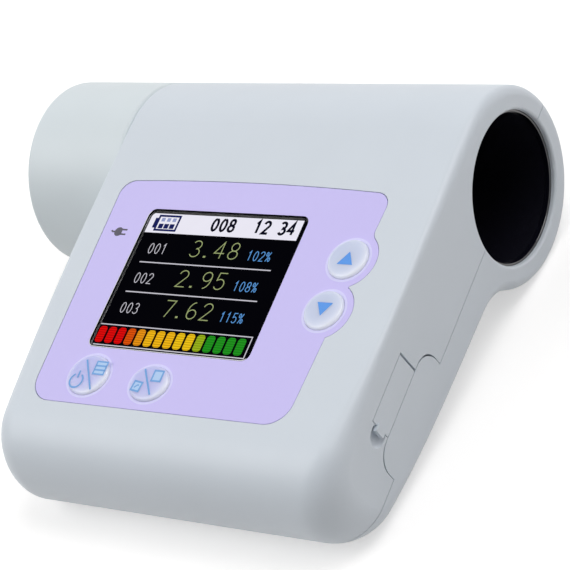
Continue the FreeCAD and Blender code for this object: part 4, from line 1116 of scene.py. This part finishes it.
@dataclass
class Readout:
    """What the display shows: a header band, three rows of figures and a lit scale.

    Places are in millimetres from the picture's upper left corner.
    """

    width: float = 35.04
    height: float = 28.03
    shift_x: float = -0.68
    shift_y: float = 0.05
    border: float = 0.45
    depth: float = 0.08
    layer: float = 0.02
    header: float = 4.15
    header_words: tuple[tuple[str, float], ...] = (("008", 15.2), ("12", 24.8), ("34", 30.3))
    header_base: float = -3.05
    header_figures: Figures = Figures(height=2.45, step=1.9, weight=0.5)
    cell_step: float = 1.3
    rows: tuple[tuple[str, str, str, str], ...] = (
        ("001", "3", "48", "102%"), ("002", "2", "95", "108%"), ("003", "7", "62", "115%"))
    row_step: float = 6.3
    first_base: float = 8.7
    number_left: float = 3.3
    number_rise: float = 0.15
    number_figures: Figures = Figures(height=2.1, step=1.5, weight=0.14)
    value_lefts: Triple = (12.9, 15.4, 18.3)
    value_figures: Figures = Figures(height=3.35, step=3.15, weight=0.18)
    share_left: float = 26.0
    share_figures: Figures = Figures(height=1.9, step=1.35, weight=0.16)
    line_ends: tuple[float, float] = (2.7, 32.4)
    line_half: float = 0.11
    line_drop: float = 1.75
    bar_step: float = 2.235
    bar_width: float = 1.76
    bar_height: float = 3.3
    bar_corner: float = 0.6
    bar_left: float = 0.85
    bar_middle: float = 25.85
    bar_colours: tuple[Colour, ...] = (
        3 * (linear(226, 14, 14),) + (linear(226, 84, 14), linear(238, 150, 24))
        + 3 * (linear(248, 188, 26),) + 2 * (linear(246, 200, 26),) + (linear(158, 184, 30),)
        + 4 * (linear(36, 152, 34),))
    scale_half: float = 2.1
    scale_ends: tuple[float, float] = (0.4, 34.79)
    scale_line: float = 0.2
    black: Lit = Lit((0.0015, 0.0015, 0.003))
    paper: Lit = Lit(linear(242, 240, 252))
    dark: Lit = Lit(linear(14, 14, 30))
    navy: Lit = Lit(linear(28, 34, 92))
    faint: Lit = Lit(linear(150, 160, 205))
    pale: Lit = Lit(linear(206, 204, 214))
    green: Lit = Lit(linear(160, 173, 118))
    blue: Lit = Lit(linear(94, 156, 222))

    def __post_init__(self) -> None:
        """Finds the picture's corner on the display glass."""
        low, high = DEVICE.box("display_window")
        self.left = (low.x + high.x - self.width) / 2 + self.shift_x
        self.top = (low.y + high.y + self.height) / 2 + self.shift_y
        self.floor = low.z - self.depth

    def flat(self, name: str, outlines: Outlines, finish: Lit, layer: int = 0) -> None:
        """Makes one lit shape from its outlines, on a layer of the picture."""
        place = DEVICE.matrix(self.left, self.top, self.floor + (layer + 1) * self.layer)
        plates(name, outlines, self.layer, place, finish, Slot.SCREEN)

    def build_ground(self) -> None:
        """Makes the black ground that fills the window behind the picture."""
        low, high = DEVICE.box("display_window")
        inset = self.border / 2
        ground = rectangle(low.x + inset, low.y + inset, high.x - inset, high.y - inset)
        place = DEVICE.matrix(z=self.floor)
        plates("readout_ground", [ground], self.layer / 2, place, self.black, Slot.SCREEN)

    def build_header(self) -> None:
        """Makes the white band with a battery symbol and figures."""
        self.flat("readout_header", [rectangle(0.0, -self.header, self.width - 0.1, 0.0)], self.paper)
        steps = [self.cell_step * i for i in range(3)]
        battery = ribbon(rectangle(2.6, -3.55, 7.4, -0.5), 0.42, closed=True)
        battery += [rectangle(1.8, -3.1, 2.4, -1.0)]
        battery += [rectangle(3.15 + step, -3.2, 4.2 + step, -2.2) for step in steps]
        self.flat("readout_battery", battery, self.navy, 1)
        cells = [rectangle(3.3 + step, -1.7, 4.1 + step, -0.95) for step in steps]
        self.flat("readout_battery_faint", cells, self.faint, 1)
        figures = []
        for word, left in self.header_words:
            figures += self.header_figures.outlines(word, left, self.header_base)
        self.flat("readout_header_figures", figures, self.dark, 1)

    def build_rows(self) -> None:
        """Makes the rows: a number, a value and a share, with lines between them."""
        numbers, values, shares, lines = [], [], [], []
        for i, (number, whole, part, share) in enumerate(self.rows):
            base = -self.first_base - self.row_step * i
            numbers += self.number_figures.outlines(number, self.number_left, base + self.number_rise)
            for word, left in zip((whole, ".", part), self.value_lefts):
                values += self.value_figures.outlines(word, left, base)
            shares += self.share_figures.outlines(share, self.share_left, base)
            if i:
                left, right = self.line_ends
                middle = base + self.row_step - self.line_drop
                lines.append(rectangle(left, middle - self.line_half, right, middle + self.line_half))
        self.flat("readout_numbers", numbers, self.pale)
        self.flat("readout_values", values, self.green)
        self.flat("readout_shares", shares, self.blue)
        self.flat("readout_lines", lines, self.pale)

    def build_scale(self) -> None:
        """Makes the frame and the lit bars of the scale, red to green, by a node tree."""
        (left, right), bottom = self.scale_ends, -self.bar_middle - self.scale_half
        outline = rectangle(left, bottom, right, bottom + 2 * self.scale_half)
        self.flat("readout_scale_frame", ribbon(outline, self.scale_line, closed=True), self.pale)
        count = len(self.bar_colours)
        start = DEVICE.origin.x / MM + self.left + self.bar_left - (self.bar_step - self.bar_width) / 2
        stops = tuple((i / count, colour) for i, colour in enumerate(self.bar_colours))
        scale = LitScale(start_mm=start, length_mm=self.bar_step * count, stops=stops, row_mm=0.46, depth=0.4)
        tree = GeometryTree("lit_bars")
        wide, tall, radius, step, thick, number = tree.inputs({
            "Bar width": self.bar_width, "Bar height": self.bar_height, "Corner radius": self.bar_corner,
            "Step": self.bar_step, "Thickness": self.layer, "Count": count})
        line = tree.node("GeometryNodeCurvePrimitiveQuadrilateral", values={"Width": wide, "Height": tall})
        rounded = {"Curve": line, "Radius": radius, "Count": 6}
        line = tree.node("GeometryNodeFilletCurve", {"mode": "POLY"}, rounded)
        face = tree.node("GeometryNodeFillCurve", {"mode": "NGONS"}, {"Curve": line})
        block = tree.node("GeometryNodeExtrudeMesh", values={
            "Mesh": face, "Offset Scale": thick, "Individual": False})
        back = tree.node("GeometryNodeFlipFaces", values=[face])
        bar = tree.node("GeometryNodeJoinGeometry", values=[[block, back]])
        bar = tree.node("GeometryNodeMergeByDistance", values={"Geometry": bar, "Distance": 1e-4})
        row = tree.node("GeometryNodeMeshLine", values={"Count": number, "Offset": tree.vector(step)})
        tree.finish(row, bar, Workshop.material("readout_bars", scale))
        mesh = tree.bake()
        first = self.left + self.bar_left + self.bar_width / 2
        mesh.transform(DEVICE.matrix(first, self.top - self.bar_middle, self.floor + self.layer))
        Workshop.piece("readout_bars", mesh, scale, Slot.SCREEN)

    def build(self) -> None:
        """Makes the whole picture."""
        self.build_ground()
        self.build_header()
        self.build_rows()
        self.build_scale()


@dataclass
class KeySymbols:
    """Printed symbols on the four keys and beside the charge light, all common ones.

    Each is drawn in millimetres from the middle of its key's top.
    """

    lift: float = 0.004
    thickness: float = 0.012
    stroke: float = 0.34
    thin_stroke: float = 0.3
    tick_stroke: float = 0.28
    blue: Ink = Ink(linear(72, 150, 238))
    steel_blue: Ink = Ink(linear(104, 164, 228))
    wash: Ink = Ink(linear(176, 208, 246))
    grey: Ink = Ink(linear(62, 58, 78))

    def print_on(self, key: str, name: str, outlines: Outlines, ink: Ink, layer: int = 0) -> None:
        """Prints a symbol on a key.

        Args:
            key: The key's short name.
            name: The symbol's name.
            outlines: Its outlines.
            ink: What it is printed with.
            layer: How many layers of ink lie under it.
        """
        x, y, z = DEVICE.top("key_" + key)
        place = DEVICE.matrix(x, y, z + self.lift + layer * self.thickness)
        plates(name, outlines, self.thickness, place, ink, Slot.KEY_PLASTIC, key + "_key")

    def build_arrows(self) -> None:
        """Prints the triangles of the up and the down key."""
        half, rise = 1.6, 1.3
        self.print_on("up", "arrow_up", [[(-half, -rise), (half, -rise), (0.1, rise)]], self.blue)
        self.print_on("down", "arrow_down", [[(-half, rise), (0.0, -rise), (half, rise)]], self.blue)

    def build_power(self) -> None:
        """Prints the power and list symbols with a slash between them."""
        x, y = -1.85, -1.55
        lines = ribbon(arc((x, y), 1.4, 122, 418), self.stroke)
        lines += ribbon([(x, y + 0.55), (x, y + 2.0)], self.stroke)
        lines += ribbon([(-1.5, 2.7), (2.2, -3.0)], self.stroke)
        left, bottom, right, top = 1.1, 0.1, 3.5, 2.6
        sheet = rectangle(left, bottom, right, top)
        lines += ribbon(sheet, self.thin_stroke, closed=True)
        for third in (1, 2):
            shelf = bottom + third * (top - bottom) / 3
            lines += ribbon([(left, shelf), (right, shelf)], self.stroke)
        self.print_on("power", "symbol_list_wash", [sheet], self.wash)
        self.print_on("power", "symbol_power", lines, self.steel_blue, 1)

    def build_confirm(self) -> None:
        """Prints the turned and the upright box with a slash between them."""
        turned = arc((-2.1, -0.95), 1.25, 38, 308, 3)
        upright = rectangle(0.45, 0.4, 2.4, 2.4)
        lines = ribbon(turned, self.stroke, closed=True)
        lines += ribbon([(-2.55, -1.25), (-2.0, -0.75), (-1.65, -0.7)], self.tick_stroke)
        lines += ribbon([(-1.9, 2.5), (1.5, -2.3)], self.stroke)
        lines += ribbon(upright, self.stroke, closed=True)
        self.print_on("confirm", "symbol_box_wash", [upright, turned], self.wash)
        self.print_on("confirm", "symbol_confirm", lines, self.steel_blue, 1)

    def build_plug(self) -> None:
        """Prints a small plug over the charge light, on the film."""
        light, film = DEVICE.top("charge_light_pipe"), DEVICE.top("overlay_panel")
        body = arc((-0.35, 0.0), 0.95, 75, 285, 14) + [(0.0, -0.9), (0.45, -0.62), (0.45, 0.62), (0.0, 0.9)]
        prongs = [rectangle(0.3, side - 0.17, 1.55, side + 0.17) for side in (0.5, -0.5)]
        cable = ribbon([(-1.2, 0.0), (-1.7, -0.05), (-2.1, 0.2)], 0.32)
        place = DEVICE.matrix(light.x + 0.35, light.y + 0.1, film.z + self.lift)
        plates("symbol_plug", [body] + prongs + cable, self.thickness, place, self.grey, Slot.PANEL_FILM)

    def build(self) -> None:
        """Prints all the symbols."""
        self.build_arrows()
        self.build_power()
        self.build_confirm()
        self.build_plug()


@dataclass(frozen=True)
class Floor(Finish):
    """The plain matt floor, which shows white and keeps the object's shadow."""

    half: float = 3.0
    colour: Colour = (0.72, 0.71, 0.70)
    glow: float = 0.5

    def dress(self, graph: Graph) -> Wire:
        """Builds the shader of the floor.

        Args:
            graph: The material's tree.

        Returns:
            A wire from the shader.
        """
        matt = graph.node("ShaderNodeBsdfDiffuse", values={"Color": self.colour})
        glow = {"Color": WHITE, "Strength": self.glow * graph.seen()}
        return graph.node("ShaderNodeAddShader", values=[matt, graph.node("ShaderNodeEmission", values=glow)])

    def build(self) -> None:
        """Makes the floor."""
        mesh = bpy.data.meshes.new("floor")
        corners = rectangle(-self.half, -self.half, self.half, self.half)
        mesh.from_pydata([(x, y, 0.0) for x, y in corners], [], [(0, 1, 2, 3)])
        mesh.materials.append(self.material("floor"))
        add_object("floor", mesh)


@dataclass
class Lamp:
    """A round area lamp that points at the object, in metres and watts."""

    name: str
    place: Triple
    size: float
    power: float
    tint: Colour = WHITE

    def build(self) -> None:
        """Makes the lamp."""
        data = bpy.data.lights.new(self.name, "AREA")
        data.shape = "DISK"
        data.size = self.size
        data.energy = self.power
        data.color = self.tint
        lamp = add_object(self.name, data)
        lamp.location = self.place
        lamp.rotation_euler = (-Vector(self.place)).to_track_quat("-Z", "Y").to_euler()


@dataclass
class Studio:
    """Soft white light from all round, dimmer from the viewer's side, with three large lamps."""

    ambient: float = 0.42
    dip: float = 1.0
    dim_side: Triple = (0.66, -0.72, 0.2)
    lamps: tuple[Lamp, ...] = (
        Lamp("lamp_key", (0.32, 0.22, 0.95), 0.7, 4.0, (1.0, 0.995, 1.0)),
        Lamp("lamp_left", (-0.55, -0.38, 0.74), 0.7, 3.2),
        Lamp("lamp_right", (0.92, 0.25, 0.5), 0.5, 0.8, (1.0, 0.93, 0.92)),
    )

    def build(self) -> None:
        """Makes the world and the lamps."""
        scene = bpy.context.scene
        scene.view_settings.view_transform = "Standard"
        scene.world = bpy.data.worlds.new("world")
        scene.world.use_nodes = True
        scene.world.node_tree.nodes.clear()
        graph = Graph(scene.world.node_tree)
        way = graph.node("ShaderNodeTexCoord", output="Generated")
        sides = [way, tuple(Vector(self.dim_side).normalized())]
        facing = graph.node("ShaderNodeVectorMath", {"operation": "DOT_PRODUCT"}, sides, "Value")
        soft = self.ambient * (1 - self.dip * facing.math("MAXIMUM", 0.0) ** 2.0)
        strength = soft + (1 - soft) * graph.seen()
        sky = graph.node("ShaderNodeBackground", values={"Color": WHITE, "Strength": strength})
        graph.node("ShaderNodeOutputWorld", values=[sky])
        for lamp in self.lamps:
            lamp.build()


@dataclass
class Viewpoint:
    """The camera: where it stands in the device's own directions, and which way it looks and leans."""

    place: Triple = (206.3, -187.4, 280.6)
    right: Triple = (0.795, 0.3677, -0.4824)
    ahead: Triple = (-0.6037, 0.4031, -0.6878)
    lens: float = 142.37
    sensor: float = 36.0
    clip: tuple[float, float] = (0.01, 20.0)

    def build(self) -> None:
        """Makes the camera and the scene's view."""
        data = bpy.data.cameras.new("camera")
        data.lens = self.lens
        data.sensor_width = self.sensor
        data.clip_start, data.clip_end = self.clip
        camera = add_object("camera", data)
        device = DEVICE.matrix()
        turn = device.to_3x3().normalized()
        ahead = (turn @ Vector(self.ahead)).normalized()
        right = (turn @ Vector(self.right)).normalized()
        basis = Matrix((right, right.cross(ahead), -ahead)).transposed().to_4x4()
        camera.matrix_world = Matrix.Translation(device @ Vector(self.place)) @ basis
        bpy.context.scene.camera = camera


def main() -> None:
    """Builds the scene's parts in order."""
    logging.basicConfig(level=logging.INFO, format="%(message)s")
    parts: list[Any] = [Viewpoint(), Studio(), Floor(), Housing(), CASE_SCREWS, BOARD_SCREWS, Trim(),
                        Readout(), KeySymbols()]
    for part in parts:
        part.build()
        LOG.info("built %s", type(part).__name__)


if __name__ == "__main__":
    main()
